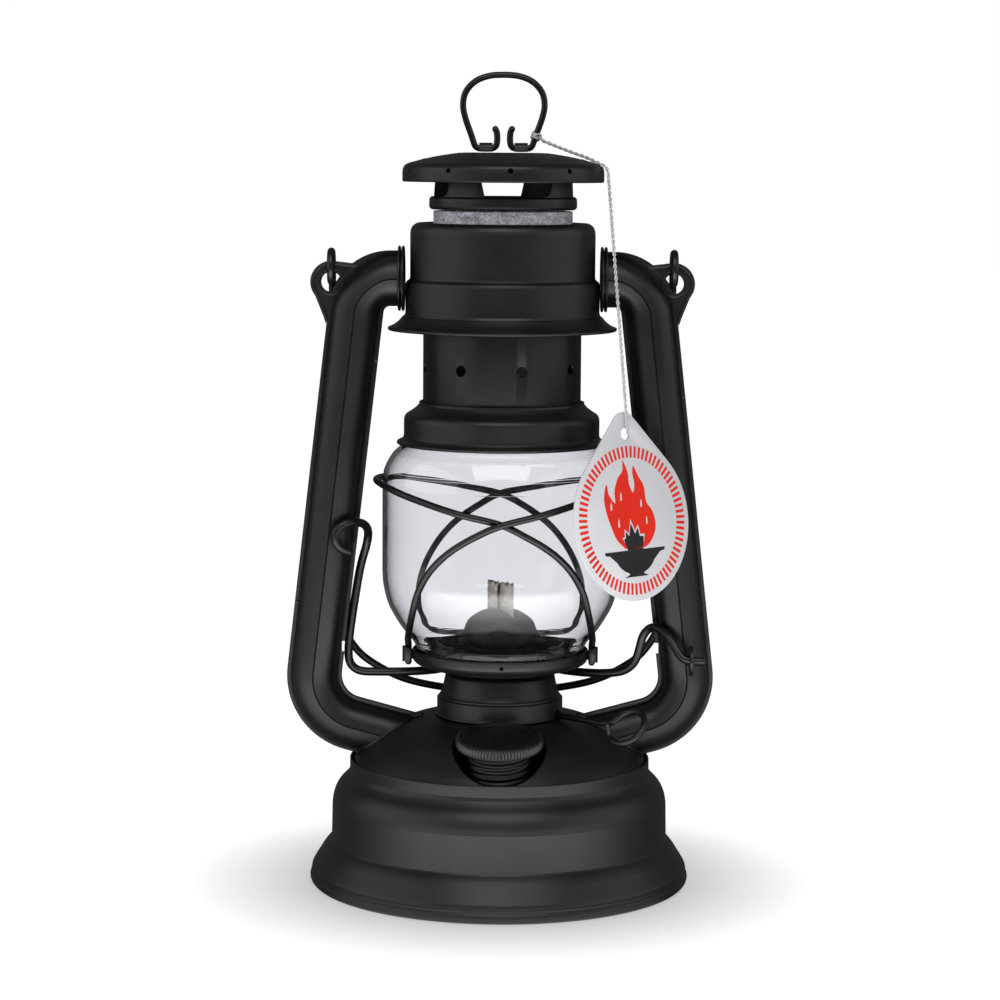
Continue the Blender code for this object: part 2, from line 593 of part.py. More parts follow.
def make_globe():
    left_hook = [
        (-52.6, -9.8, 117.6), (-56.2, -11.6, 119.6), (-57.5, -11.9, 123.6), (-55.6, -11.3, 127.0),
        (-51.4, -9.2, 128.2), (-47.7, -4.4, 126.8), (-46.5, 0.6, 123.4), (-47.2, 2.6, 118.6), (-49.5, 3.2, 110.0),
        (-52.4, 3.2, 92.0), (-53.5, 3.2, 82.0), (-53.0, 3.2, 76.6), (-49.8, 3.2, 73.8),
    ]
    under_plate = [(-42.0, 3.4, 73.4), (-31.0, 4.6, 73.4), (-22.8, 8.6, 73.4), (-16.8, 15.6, 73.4), (0, 22.8, 73.4),
                   (16.8, 15.6, 73.4), (22.8, 8.6, 73.4), (31.0, 3.4, 73.5)]
    right_lever = [(38.0, 0.8, 73.9), (43.6, -0.6, 75.0), (47.2, -2.0, 78.2), (48.8, -3.0, 83.0), (50.0, -3.6, 88.0),
                   (52.6, -5.0, 91.2), (55.4, -8.0, 91.2), (58.6, -11.2, 88.8), (61.2, -13.6, 85.0),
                   (63.2, -15.2, 82.0), (66.0, -15.6, 81.2), (70.2, -15.6, 81.0)]
    lift_line = smooth_line(left_hook + under_plate + right_lever, COARSE)
    lift_wire = wire("lift_wire", lift_line, LIFT_WIRE, "black_wire")
    disc = plate("lift_thumb_disc", [ring_points(5.2, 20), ring_points(LIFT_WIRE + 0.5, 12)], 1.2, "black_steel",
                 at(66.2, -15.6, 81.2) @ facing((1, 0, 0)))

    dish = turned("globe_plate", sheet([
        (PLATE_R, PLATE_RIM_Z), (PLATE_R, 79.4), (29.6, 77.6), (25.0, 76.2), (20.0, PLATE_FOOT_Z),
        (PLATE_HOLE_R, PLATE_FOOT_Z),
    ]), "black_steel")
    feet = [at(s * GUARD_FOOT[0], GUARD_FOOT[1], 80.6) for s in (-1, 1)]
    ears = rods("guard_ears", 2.1, 5.2, feet)
    ear_holes = rods("guard_ear_holes", GUARD_WIRE + GAP, 8.0, [foot @ at(0, 0, 2.4) for foot in feet])
    boolean(dish, ears, "UNION")
    boolean(dish, ear_holes)
    diffuser = turned("air_diffuser", sheet([(29.2, 80.0), (PLATE_HOLE_R, 80.0)], -0.6)[::-1], "black_steel")
    slots = [spin(30 * i) @ at(22.5, 0, 80.0) for i in range(12)]
    boolean(diffuser, rods("diffuser_holes", 1.8, 4, slots, sides=8))

    outer = [(30.6, 164.0), (31.2, 158.0), (35.2, 154.3), (39.4, 149.4), (41.3, 144.6), (GLOBE_R, 139.0),
             (GLOBE_R, 110.0), (40.6, 102.5), (37.6, 95.2), (33.0, 88.4), (29.6, 84.6), (29.4, 81.0)]
    glass = turned("globe_glass", sheet(outer, GLASS), "glass")

    guard_half = [
        (-32.1, -5.0, 79.6), (-32.1, -5.0, 84.4), (-32.1, -8.0, 86.2), (-32.0, -14.0, 88.0), (-31.4, -21.4, 92.2),
        (-30.1, -28.6, 99.0),
        (-28.3, -32.4, 106.4), (-24.9, -35.9, 113.4), (-20.6, -38.6, 118.8), (-15.2, -41.0, 123.4),
        (-8.0, -43.4, 127.8), (0, -GUARD_CROSS_R - 1.35, 131.6), (14.8, -43.0, 135.2), (28.2, -34.0, 138.6),
        (37.2, -23.2, 141.0), (GUARD_R, 0, 142.2), (37.2, 23.2, 141.0), (28.2, 34.0, 138.8), (14.8, 43.0, 135.6),
    ]
    rear = [(0, GUARD_CROSS_R + 1.35, 132.4), (-8.0, 43.6, 128.6), (-15.3, 41.4, 124.0), (-21.0, 38.8, 119.0),
            (-26.2, 35.8, 112.0), (-29.8, 34.0, 104.0), (-31.2, 33.0, 95.0), (-30.6, 33.0, 88.2), (-28.8, 33.1, 84.2),
            (-25.6, GUARD_BAR_Y, GUARD_BAR_Z)]
    bar = [(x, GUARD_BAR_Y, GUARD_BAR_Z) for x in (-13, 0, 13)]
    mirrored = [(-x, y, z) for x, y, z in (guard_half + rear)[::-1]]
    inner = [(x, y * (1 - 2.7 / abs(y)), z) if x == 0 else (x, y, z) for x, y, z in mirrored]
    guard = wire("globe_guard", smooth_line(guard_half + rear + bar + inner, 10.0), GUARD_WIRE, "black_wire")
    clip = plate("guard_rear_clip", [[(-1.6, -5.4), (-0.9, -5.4), (-0.9, -2.4), *arc(0, 0, 2.2, -100, 70, 7),
                                      *arc(0, 0, 1.5, 70, -110, 7), (-1.6, -1.9)]], 5.0, "black_steel",
                 at(0, GUARD_BAR_Y, GUARD_BAR_Z) @ spin(90) @ spin(90, "X"))
    hang(axis("globe_slide", 0, 0, PLATE_FOOT_Z), lift_wire, disc, dish, diffuser, glass, guard, clip)


# ---------------------------------------------------------------- bail and tag


def make_bail():
    hook = [(EAR_X, BAIL_LOOP_R * math.cos(a), BAIL_Z + BAIL_LOOP_R * math.sin(a))
            for a in (math.radians(a) for a in range(285, -1, -28))]
    arm = [(59.4, 6.6, 209.0), (59.5, 8.6, 200.0), (59.6, 10.6, 180.0), (59.6, 12.4, 160.0), (59.5, 14.8, 140.0),
           (59.2, 17.4, 120.0), (58.6, 19.8, 102.0), (56.9, 21.6, 88.0), (52.3, 22.8, 79.0), (45.7, 23.8, 73.0),
           (33.8, 24.8, 67.0), (17.0, 25.4, 63.6)]
    half = hook + arm
    line = smooth_line([*half, (0, 25.6, 62.5), *[(-x, y, z) for x, y, z in half[::-1]]], COARSE)
    bail = wire("bail", line, BAIL_WIRE, "black_wire")
    hang(axis("bail_axis", 0, 0, BAIL_Z), bail)


def tag_matrix():
    return at(*TAG_CENTRE) @ spin(TAG_YAW) @ spin(90 + TAG_LEAN, "X")


def make_tag():
    """The hang tag, and the string from the ring's foot over the cap's edge down to the tag's hole."""
    tip_r = 6.0
    tip = TAG_TIP - tip_r
    spread = math.degrees(math.acos((TAG_R - tip_r) / tip))
    outline = arc(0, 0, TAG_R, 90 + spread, 450 - spread, 24) + arc(0, tip, tip_r, 90 - spread, 90 + spread, 6)
    hole = [(x, y + TAG_HOLE) for x, y in ring_points(2.0, 10)]
    tag = plate("hang_tag", [outline, hole], TAG_THICK, "card", tag_matrix())
    end = tag_matrix() @ (Vector((0, TAG_HOLE, 1.6)) * MM) / MM
    edge = Vector((36.1, -10.2, 246.0))
    route = [(13.4, -1.5, 260.0), (16.0, -2.4, 259.0), (20.0, -3.8, 257.6), (24.0, -5.4, 256.2), (28.0, -6.9, 254.7),
             (32.6, -8.6, 252.5), (35.3, -9.7, 250.6), tuple(edge)] + [tuple(edge.lerp(end, i / 5)) for i in range(1, 6)]
    string = wire("tag_string", smooth_line(route, 3.0), STRING_R, "string")
    return tag, string


for old in list(bpy.data.objects):
    bpy.data.objects.remove(old)
PARTS = collection("barn_lantern")
CUTTERS = collection("cutters", hidden=True)

make_tank()
make_tubes()
make_filler()
make_burner()
make_hood()
make_chimney()
make_globe()
make_bail()
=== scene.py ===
"""The looks of the barn lantern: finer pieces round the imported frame, materials, floor, light and camera.

Shapes are written in millimetres and become metres when a mesh is made. Z is up and the camera stands at -Y.
"""

import math
from math import cos, pi, radians, sin, tau

import bmesh
import bpy
import numpy as np
from mathutils import Matrix, Vector


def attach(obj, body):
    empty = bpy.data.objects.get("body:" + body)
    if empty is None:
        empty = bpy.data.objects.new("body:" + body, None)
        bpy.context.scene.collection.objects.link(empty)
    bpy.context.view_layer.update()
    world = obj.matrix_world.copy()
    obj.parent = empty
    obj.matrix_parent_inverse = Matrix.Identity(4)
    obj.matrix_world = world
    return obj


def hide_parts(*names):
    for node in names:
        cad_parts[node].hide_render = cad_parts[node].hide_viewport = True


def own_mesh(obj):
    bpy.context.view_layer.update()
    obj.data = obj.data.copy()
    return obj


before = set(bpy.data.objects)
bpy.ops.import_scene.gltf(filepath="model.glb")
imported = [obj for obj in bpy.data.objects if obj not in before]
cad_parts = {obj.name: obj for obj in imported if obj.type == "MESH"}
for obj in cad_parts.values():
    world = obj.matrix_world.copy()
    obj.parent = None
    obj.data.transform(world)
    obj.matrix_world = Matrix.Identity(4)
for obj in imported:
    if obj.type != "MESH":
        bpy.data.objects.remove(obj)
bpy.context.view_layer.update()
MM = 0.001
STEPS = 144  # facets of a large turned piece
FEW = 96  # facets of a small one
SHEET, THIN_SHEET = 0.7, 0.6  # how thick the steel is modelled
SOFT, NARROW = 0.15, 0.2  # radii of its rounded edges


def placed(name, data):
    """An object with this data, in the scene."""
    obj = bpy.data.objects.new(name, data)
    bpy.context.scene.collection.objects.link(obj)
    return obj


# ---------------------------------------------------------------- camera


def look_through_camera():
    data = bpy.data.cameras.new("camera")
    data.lens, data.sensor_width = 105.66, 36.0
    data.clip_start, data.clip_end = 0.01, 50.0
    camera = placed("camera", data)
    turn = Matrix.Rotation(radians(83.38), 4, "X") @ Matrix.Rotation(radians(0.39), 4, "Z")
    camera.matrix_world = Matrix.Translation((-0.0004, -1.02, 0.2535)) @ turn
    bpy.context.scene.camera = camera


# ---------------------------------------------------------------- materials


def shader_tree(name):
    made = bpy.data.materials.new(name)
    made.use_nodes = True
    tree = made.node_tree
    return made, tree, tree.nodes["Principled BSDF"]


def add(tree, kind, inputs=(), **settings):
    """A new shader node, its inputs joined to sockets or set to values."""
    node = tree.nodes.new("ShaderNode" + kind)
    for key, value in settings.items():
        setattr(node, key, value)
    for socket, value in dict(inputs).items():
        if isinstance(value, bpy.types.NodeSocket):
            tree.links.new(value, node.inputs[socket])
        else:
            node.inputs[socket].default_value = value
    return node


def place_of(tree, scale=(1, 1, 1)):
    """Object coordinates, stretched."""
    where = add(tree, "TexCoord").outputs["Object"]
    return add(tree, "Mapping", {"Vector": where, "Scale": scale}).outputs["Vector"]


def grain(tree, where, scale, detail=3.0, roughness=0.6):
    return add(tree, "TexNoise", {"Vector": where, "Scale": scale, "Detail": detail,
                                  "Roughness": roughness}).outputs["Fac"]


def ramp(tree, value, stops):
    """Colours or greys at places from 0 to 1."""
    node = add(tree, "ValToRGB", {"Fac": value})
    while len(node.color_ramp.elements) < len(stops):
        node.color_ramp.elements.new(0.5)
    for element, (place, colour) in zip(node.color_ramp.elements, stops):
        element.position = place
        element.color = (*colour, 1) if isinstance(colour, tuple) else (colour, colour, colour, 1)
    return node.outputs["Color"]


def bump(tree, shader, heights):
    """Bumps laid on each other, given as (height, distance in metres, strength)."""
    normal = None
    for height, distance, strength in heights:
        inputs = {"Height": height, "Distance": distance, "Strength": strength}
        if normal:
            inputs["Normal"] = normal
        normal = add(tree, "Bump", inputs).outputs["Normal"]
    tree.links.new(normal, shader.inputs["Normal"])


def surface(tree, shader, colour, rough, **values):
    """Joins a colour and a roughness to a shader and sets its plain values."""
    tree.links.new(colour, shader.inputs["Base Color"])
    tree.links.new(rough, shader.inputs["Roughness"])
    for socket, value in values.items():
        shader.inputs[socket.replace("_", " ")].default_value = value


def black_paint(name, tone, rough, grain_depth, grain_scale=2600.0):
    """Powder coat: a fine orange peel, paler specks scattered in its colour and a slow change of gloss."""
    made, tree, shader = shader_tree(name)
    where = place_of(tree)
    slow, fine = grain(tree, where, 60.0, 4.0), grain(tree, where, grain_scale, 2.0)
    specks = add(tree, "TexVoronoi", {"Vector": where, "Scale": grain_scale * 0.8}).outputs["Distance"]
    # paler specks scattered through the colour
    pale_specks = ramp(tree, specks, [(0.0, 1.0), (0.16, 0.35), (0.3, 0.0)])
    base = ramp(tree, slow, [(0.3, tone * 0.8), (0.7, tone * 1.25)])
    colour = add(tree, "Mix", {"Factor": pale_specks, "A": base, "B": (tone * 2.6, tone * 2.6, tone * 2.6, 1)},
                 data_type="RGBA")
    gloss = ramp(tree, slow, [(0.25, rough - 0.05), (0.75, rough + 0.06)])
    surface(tree, shader, colour.outputs["Result"], gloss)
    bump(tree, shader, [(slow, 0.0004, 0.1), (fine, grain_depth, 0.5)])
    return made


def zinc_bloom():
    made, tree, shader = shader_tree("zinc_bloom")
    where = place_of(tree, (1, 1, 1.6))
    coarse, fine = grain(tree, where, 260.0, 6.0, 0.75), grain(tree, where, 1500.0, 4.0, 0.7)
    blend = add(tree, "Math", {0: coarse, 1: fine}, operation="MULTIPLY_ADD")
    blend.inputs[2].default_value = 0.12
    colour = ramp(tree, blend.outputs[0], [(0.26, (0.16, 0.165, 0.19)), (0.33, (0.42, 0.43, 0.48)),
                                           (0.40, (0.75, 0.76, 0.82)), (0.48, (0.97, 0.97, 1.0))])
    surface(tree, shader, colour, ramp(tree, coarse, [(0.3, 0.38), (0.7, 0.62)]), Metallic=0.2)
    bump(tree, shader, [(fine, 0.00012, 0.7)])
    return made


def plain_metal(name, colour, rough):
    """Rolled or drawn metal: fine scratches along it and a little tarnish."""
    made, tree, shader = shader_tree(name)
    where = place_of(tree, (1, 1, 14))
    lines, slow = grain(tree, where, 900.0, 3.0), grain(tree, place_of(tree), 120.0, 4.0)
    tarnish = ramp(tree, slow, [(0.3, tuple(c * 0.72 for c in colour)), (0.7, colour)])
    surface(tree, shader, tarnish, ramp(tree, lines, [(0.3, rough - 0.08), (0.7, rough + 0.1)]), Metallic=1.0)
    bump(tree, shader, [(lines, 0.00005, 0.4)])
    return made


def clear_glass():
    made, tree, shader = shader_tree("clear_glass")
    waves = grain(tree, place_of(tree, (1, 1, 0.35)), 45.0, 1.5, 0.4)
    colour = ramp(tree, waves, [(0.2, (0.86, 0.862, 0.89)), (0.8, (0.90, 0.902, 0.925))])
    surface(tree, shader, colour, ramp(tree, waves, [(0.3, 0.0), (0.7, 0.02)]), Transmission_Weight=1.0, IOR=1.47)
    bump(tree, shader, [(waves, 0.0006, 0.12)])
    return made


def woven_cotton():
    made, tree, shader = shader_tree("woven_cotton")
    fibres = grain(tree, place_of(tree, (1, 1, 0.3)), 5200.0, 3.0)
    slow = grain(tree, place_of(tree), 500.0, 3.0)
    colour = ramp(tree, slow, [(0.3, (0.52, 0.44, 0.35)), (0.5, (0.74, 0.67, 0.57)), (0.72, (0.86, 0.81, 0.73))])
    surface(tree, shader, colour, ramp(tree, fibres, [(0.2, 0.85), (0.8, 1.0)]), Sheen_Weight=0.3)
    bump(tree, shader, [(fibres, 0.00015, 0.8), (slow, 0.0002, 0.5)])
    return made


def pressed_cork():
    made, tree, shader = shader_tree("pressed_cork")
    crumbs = add(tree, "TexVoronoi", {"Vector": place_of(tree), "Scale": 1100.0}).outputs["Color"]
    colour = ramp(tree, crumbs, [(0.2, (0.12, 0.06, 0.03)), (0.8, (0.42, 0.27, 0.15))])
    surface(tree, shader, colour, ramp(tree, crumbs, [(0.0, 0.8), (1.0, 0.95)]))
    bump(tree, shader, [(crumbs, 0.0002, 0.6)])
    return made


def printed_card(name, pale, dark, rough):
    """Coated card or the ink on it: faint fibres under a thin gloss."""
    made, tree, shader = shader_tree(name)
    fibres = grain(tree, place_of(tree, (1, 1, 0.4)), 2400.0, 3.0)
    colour = ramp(tree, grain(tree, place_of(tree), 70.0, 3.0), [(0.25, dark), (0.75, pale)])
    gloss = ramp(tree, fibres, [(0.3, rough - 0.06), (0.7, rough + 0.08)])
    surface(tree, shader, colour, gloss, Specular_IOR_Level=0.25)
    bump(tree, shader, [(fibres, 0.00003, 0.4)])
    return made


def silver_thread():
    made, tree, shader = shader_tree("silver_thread")
    fibres = grain(tree, place_of(tree, (1, 1, 0.5)), 6000.0, 3.0)
    colour = ramp(tree, fibres, [(0.3, (0.45, 0.45, 0.48)), (0.7, (0.86, 0.86, 0.88))])
    surface(tree, shader, colour, ramp(tree, fibres, [(0.3, 0.35), (0.7, 0.6)]), Metallic=0.25, Sheen_Weight=0.4)
    bump(tree, shader, [(fibres, 0.0001, 0.6)])
    return made


LOOKS = {
    "black_steel": black_paint("satin_black", 0.0045, 0.40, 0.00005),
    "black_wire": black_paint("wire_black", 0.004, 0.34, 0.00003, 3400.0),
    "zinc": zinc_bloom(),
    "spring_steel": plain_metal("spring_wire", (0.42, 0.42, 0.44), 0.34),
    "brass": plain_metal("rolled_brass", (0.62, 0.43, 0.17), 0.36),
    "glass": clear_glass(),
    "cotton": woven_cotton(),
    "cork": pressed_cork(),
    "card": printed_card("tag_card", (0.68, 0.68, 0.71), (0.63, 0.63, 0.66), 0.5),
    "string": silver_thread(),
}
RED_INK = printed_card("red_ink", (0.78, 0.024, 0.007), (0.70, 0.018, 0.006), 0.55)
BLACK_INK = printed_card("black_ink", (0.02, 0.018, 0.02), (0.012, 0.011, 0.012), 0.55)


# ---------------------------------------------------------------- mesh helpers


def arc(x, y, radius, start, end, count):
    angles = [radians(start + (end - start) * i / count) for i in range(count + 1)]
    return [(x + radius * cos(a), y + radius * sin(a)) for a in angles]


def circle(radius, count, x=0.0, y=0.0):
    return arc(x, y, radius, 0, 360, count)[:-1]


def soft(points, radius=0.25, count=3):
    """A closed outline with its corners rounded, each by its own radius where a third number gives one."""
    rounded = []
    for i, point in enumerate(points):
        corner = Vector(point[:2])
        back, on = Vector(points[i - 1][:2]) - corner, Vector(points[(i + 1) % len(points)][:2]) - corner
        size = point[2] if len(point) > 2 else radius
        if size == 0 or corner.x < 1e-6 or back.length < 1e-6 or on.length < 1e-6:
            rounded.append(tuple(corner))
            continue
        angle = back.angle(on)
        if angle > radians(176) or angle < radians(2):
            rounded.append(tuple(corner))
            continue
        cut = min(size / math.tan(angle / 2), 0.48 * back.length, 0.48 * on.length)
        a, b = corner + back.normalized() * cut, corner + on.normalized() * cut
        for k in range(count + 1):
            t = k / count
            rounded.append(tuple(a * (1 - t) ** 2 + corner * 2 * t * (1 - t) + b * t * t))
    return rounded


def shell(line, thickness=SHEET):
    """The closed outline of a sheet from its outer line, which runs from its top to its bottom."""
    inner = []
    for i, point in enumerate(line):
        sides = [line[max(i - 1, 0)][:2], point[:2], line[min(i + 1, len(line) - 1)][:2]]
        normals = [Vector((b[1] - a[1], -(b[0] - a[0]))).normalized() for a, b in zip(sides, sides[1:]) if a != b]
        mean = sum(normals, Vector((0, 0))).normalized()
        within = Vector(point[:2]) + mean * thickness / max(mean.dot(normals[0]), 0.4)
        on_axis = point[0] == 0
        inner.append((0.0 if on_axis else within.x, point[1] - thickness if on_axis else within.y, *point[2:]))
    return list(line) + inner[::-1]


def turned(profile, steps=STEPS, shape=None):
    """(points, faces) of a closed outline of (radius, height) turned about Z. shape(r, z, angle) may move a point."""
    points, rings = [], []
    for r, z in profile:
        if r < 1e-6:
            rings.append([len(points)] * steps)
            points.append((0.0, 0.0, z))
            continue
        rings.append(list(range(len(points), len(points) + steps)))
        for i in range(steps):
            a = tau * i / steps
            rr, zz = shape(r, z, a) if shape else (r, z)
            points.append((rr * cos(a), rr * sin(a), zz))
    faces = []
    for one, two in zip(rings, rings[1:] + rings[:1]):
        for i in range(steps):
            j = (i + 1) % steps
            corners = list(dict.fromkeys((one[i], one[j], two[j], two[i])))
            if len(corners) > 2:
                faces.append(corners)
    return points, faces


def sheet(line, thickness=SHEET, corner=SOFT, steps=STEPS):
    """(points, faces) of sheet metal turned about Z from its outer line."""
    return turned(soft(shell(line, thickness), corner), steps)


def prism(outline, thickness, holes=()):
    """(points, faces) of a flat outline made thick about Z = 0, through a filled curve so that it may have holes."""
    curve = bpy.data.curves.new("outline", "CURVE")
    curve.dimensions, curve.fill_mode, curve.extrude = "2D", "BOTH", thickness / 2
    for loop in (outline, *holes):
        spline = curve.splines.new("POLY")
        spline.points.add(len(loop) - 1)
        for point, (x, y) in zip(spline.points, loop):
            point.co = (x, y, 0, 1)
        spline.use_cyclic_u = True
    obj = placed("outline", curve)
    mesh = bpy.data.meshes.new_from_object(obj.evaluated_get(bpy.context.evaluated_depsgraph_get()))
    bpy.data.objects.remove(obj)
    solid = [tuple(v.co) for v in mesh.vertices], [list(p.vertices) for p in mesh.polygons]
    bpy.data.meshes.remove(mesh)
    return solid


def smooth(points, step=1.0):
    """Points about a step apart on the smooth curve through the given ones."""
    knots = [Vector(p) for p in points]
    knots = [2 * knots[0] - knots[1], *knots, 2 * knots[-1] - knots[-2]]
    line = []
    for a, b, c, d in zip(knots, knots[1:], knots[2:], knots[3:]):
        count = max(1, round((c - b).length / step))
        for i in range(count):
            t = i / count
            line.append(0.5 * (2 * b + (c - a) * t + (2 * a - 5 * b + 4 * c - d) * t**2
                               + (3 * b - a - 3 * c + d) * t**3))
    return [*line, knots[-2]]


def relaxed(line, times=3):
    """The line with its small kinks eased, its ends kept."""
    for _ in range(times):
        line = [line[0], *[(a + 2 * b + c) / 4 for a, b, c in zip(line, line[1:], line[2:])], line[-1]]
    return line


def frames(line, closed=False):
    """(tangent, side, up) along a line, turned as little as possible."""
    count = len(line)
    tangents = []
    for i in range(count):
        a, b = (line[i - 1], line[(i + 1) % count]) if closed else (line[max(i - 1, 0)],
            line[min(i + 1, count - 1)])
        tangents.append((b - a).normalized())
    side = tangents[0].orthogonal().normalized()
    found = []
    for tangent in tangents:
        side = (side - tangent * side.dot(tangent)).normalized()
        found.append((tangent, side, tangent.cross(side)))
    return found


def sweep(line, radius, sides=16, closed=False, shape=None):
    """(points, faces) of a round wire along a line, with rounded ends. shape(distance, angle) scales its radius."""
    line = [Vector(p) for p in line]
    base = frames(line, closed)
    stations = [(p, f, 1.0) for p, f in zip(line, base)]
    if not closed:
        caps = [(0.35, 0.94), (0.7, 0.71), (0.93, 0.36)]
        first, last = base[0], base[-1]
        stations = ([(line[0] - first[0] * radius * out, first, wide) for out, wide in caps[::-1]] + stations
                    + [(line[-1] + last[0] * radius * out, last, wide) for out, wide in caps])
    points, travelled = [], 0.0
    for i, (point, (_, side, up), wide) in enumerate(stations):
        if i:
            travelled += (point - stations[i - 1][0]).length
        for k in range(sides):
            a = tau * k / sides
            r = radius * wide * (shape(travelled, a) if shape else 1.0)
            points.append(tuple(point + side * r * cos(a) + up * r * sin(a)))
    count = len(stations)
    faces = []
    for i in range(count if closed else count - 1):
        j = (i + 1) % count
        for k in range(sides):
            m = (k + 1) % sides
            faces.append((i * sides + k, j * sides + k, j * sides + m, i * sides + m))
    if not closed:
        faces += [tuple(range(sides)), tuple(range((count - 1) * sides, count * sides))]
    return points, faces


def box(size, centre=(0, 0, 0)):
    corners = [(x, y, z) for x in (-0.5, 0.5) for y in (-0.5, 0.5) for z in (-0.5, 0.5)]
    points = [tuple(c * s + o for c, s, o in zip(corner, size, centre)) for corner in corners]
    return points, [(0, 1, 3, 2), (4, 6, 7, 5), (0, 4, 5, 1), (2, 3, 7, 6), (0, 2, 6, 4), (1, 5, 7, 3)]


def moved(solid, matrix):
    """A solid put through a matrix whose lengths are millimetres."""
    return [tuple(matrix @ Vector(p)) for p in solid[0]], solid[1]


def joined(*solids):
    points, faces = [], []
    for some, sides in solids:
        faces += [tuple(i + len(points) for i in face) for face in sides]
        points += list(some)
    return points, faces


def mirrored(half):
    """The other half of a wire's points, from the middle outwards."""
    return [(-x, y, z) for x, y, z in half[::-1]]


def at(x, y, z):
    return Matrix.Translation((x, y, z))


def spin(degrees, about="Z"):
    return Matrix.Rotation(radians(degrees), 4, about)


def facing(direction):
    return Vector(direction).to_track_quat("Z", "Y").to_matrix().to_4x4()


def mesh_of(name, solid):
    mesh = bpy.data.meshes.new(name)
    mesh.from_pydata([tuple(c * MM for c in p) for p in solid[0]], [], solid[1])
    shape = bmesh.new()
    shape.from_mesh(mesh)
    bmesh.ops.remove_doubles(shape, verts=shape.verts, dist=1e-7)
    bmesh.ops.recalc_face_normals(shape, faces=shape.faces)
    shape.to_mesh(mesh)
    shape.free()
    return mesh


def piece(name, solid, nodes=(), body="frame", look="black_steel", sharp=38.0, ink=None, cuts=(), bevel=0.0):
    """A finished piece: its mesh less the solids cut from it, its material, its body and the nodes it replaces."""
    obj = placed(name, mesh_of(name, solid))
    tools = []
    for cut in cuts:
        tool = placed("tool", mesh_of("tool", cut))
        step = obj.modifiers.new("Cut", "BOOLEAN")
        step.operation, step.object, step.solver = "DIFFERENCE", tool, "EXACT"
        tools.append(tool)
    if bevel:
        step = obj.modifiers.new("Edge", "BEVEL")
        step.width, step.segments, step.limit_method, step.angle_limit = bevel * MM, 2, "ANGLE", radians(50)
        step.miter_outer = "MITER_ARC"
    if obj.modifiers:
        graph = bpy.context.evaluated_depsgraph_get()
        applied = bpy.data.meshes.new_from_object(obj.evaluated_get(graph))
        applied.name = name
        obj.modifiers.clear()
        obj.data = applied
        for tool in tools:
            bpy.data.objects.remove(tool)
    obj.data.materials.clear()
    obj.data.materials.append(ink or LOOKS[look])
    for face in obj.data.polygons:
        face.use_smooth = True
    obj.data.set_sharp_from_angle(angle=radians(sharp))
    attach(obj, body)
    if nodes:
        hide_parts(*nodes)
    return obj


def dome_height(r):
    """The top of the tank's dome at a distance from the axis."""
    return float(np.interp(r, DOME_R, DOME_Z))


DOME_LINE = smooth([(18.6, 59.1), (22, 59.05), (26, 58.75), (30, 58.0), (34, 56.7), (38, 54.8), (42, 52.25),
                    (46, 49.0), (49, 46.2), (51.4, 43.5)], 0.5)
DOME_R, DOME_Z = [p[0] for p in DOME_LINE], [p[1] for p in DOME_LINE]
CREASE_R = 29.2  # a faint ring pressed into the dome


def curved(points, step=0.4):
    """Points of a smooth profile through the given ones."""
    return [tuple(p) for p in smooth(points, step)]


# ---------------------------------------------------------------- tank

FILLER_TOP, FILLER_LEAN = Vector((0, -38.0, 58.9)), 9.6
FILLER = at(*FILLER_TOP) @ spin(FILLER_LEAN, "X")
POCKET_FLOOR, POCKET_TOP_R, POCKET_FOOT_R, POCKET_DEPTH = 43.3, 17.3, 13.2, 15.6


def pocket_height(x, y):
    """The height of the filler pocket's surface: a cone round the leaning neck, run forward to the dome's edge."""
    lowest = np.full(x.shape, 1e3)
    lean = radians(FILLER_LEAN)
    for forward in (0.0, -1.2, -2.4):
        low, high = np.full(x.shape, 30.0), np.full(x.shape, 76.0)

        def inside(z):
            dy, dz = y - FILLER_TOP.y - forward, z - FILLER_TOP.z
            along, across = cos(lean) * dz - sin(lean) * dy, cos(lean) * dy + sin(lean) * dz
            wide = POCKET_TOP_R - 0.35 * abs(forward) + along * (POCKET_TOP_R - POCKET_FOOT_R) / POCKET_DEPTH
            return np.hypot(x, across) < wide

        open_above = inside(high)
        for _ in range(26):
            middle = (low + high) / 2
            within = inside(middle)
            high = np.where(within, middle, high)
            low = np.where(within, low, middle)
        lowest = np.minimum(lowest, np.where(open_above, np.maximum(high, POCKET_FLOOR), 1e3))
    return lowest


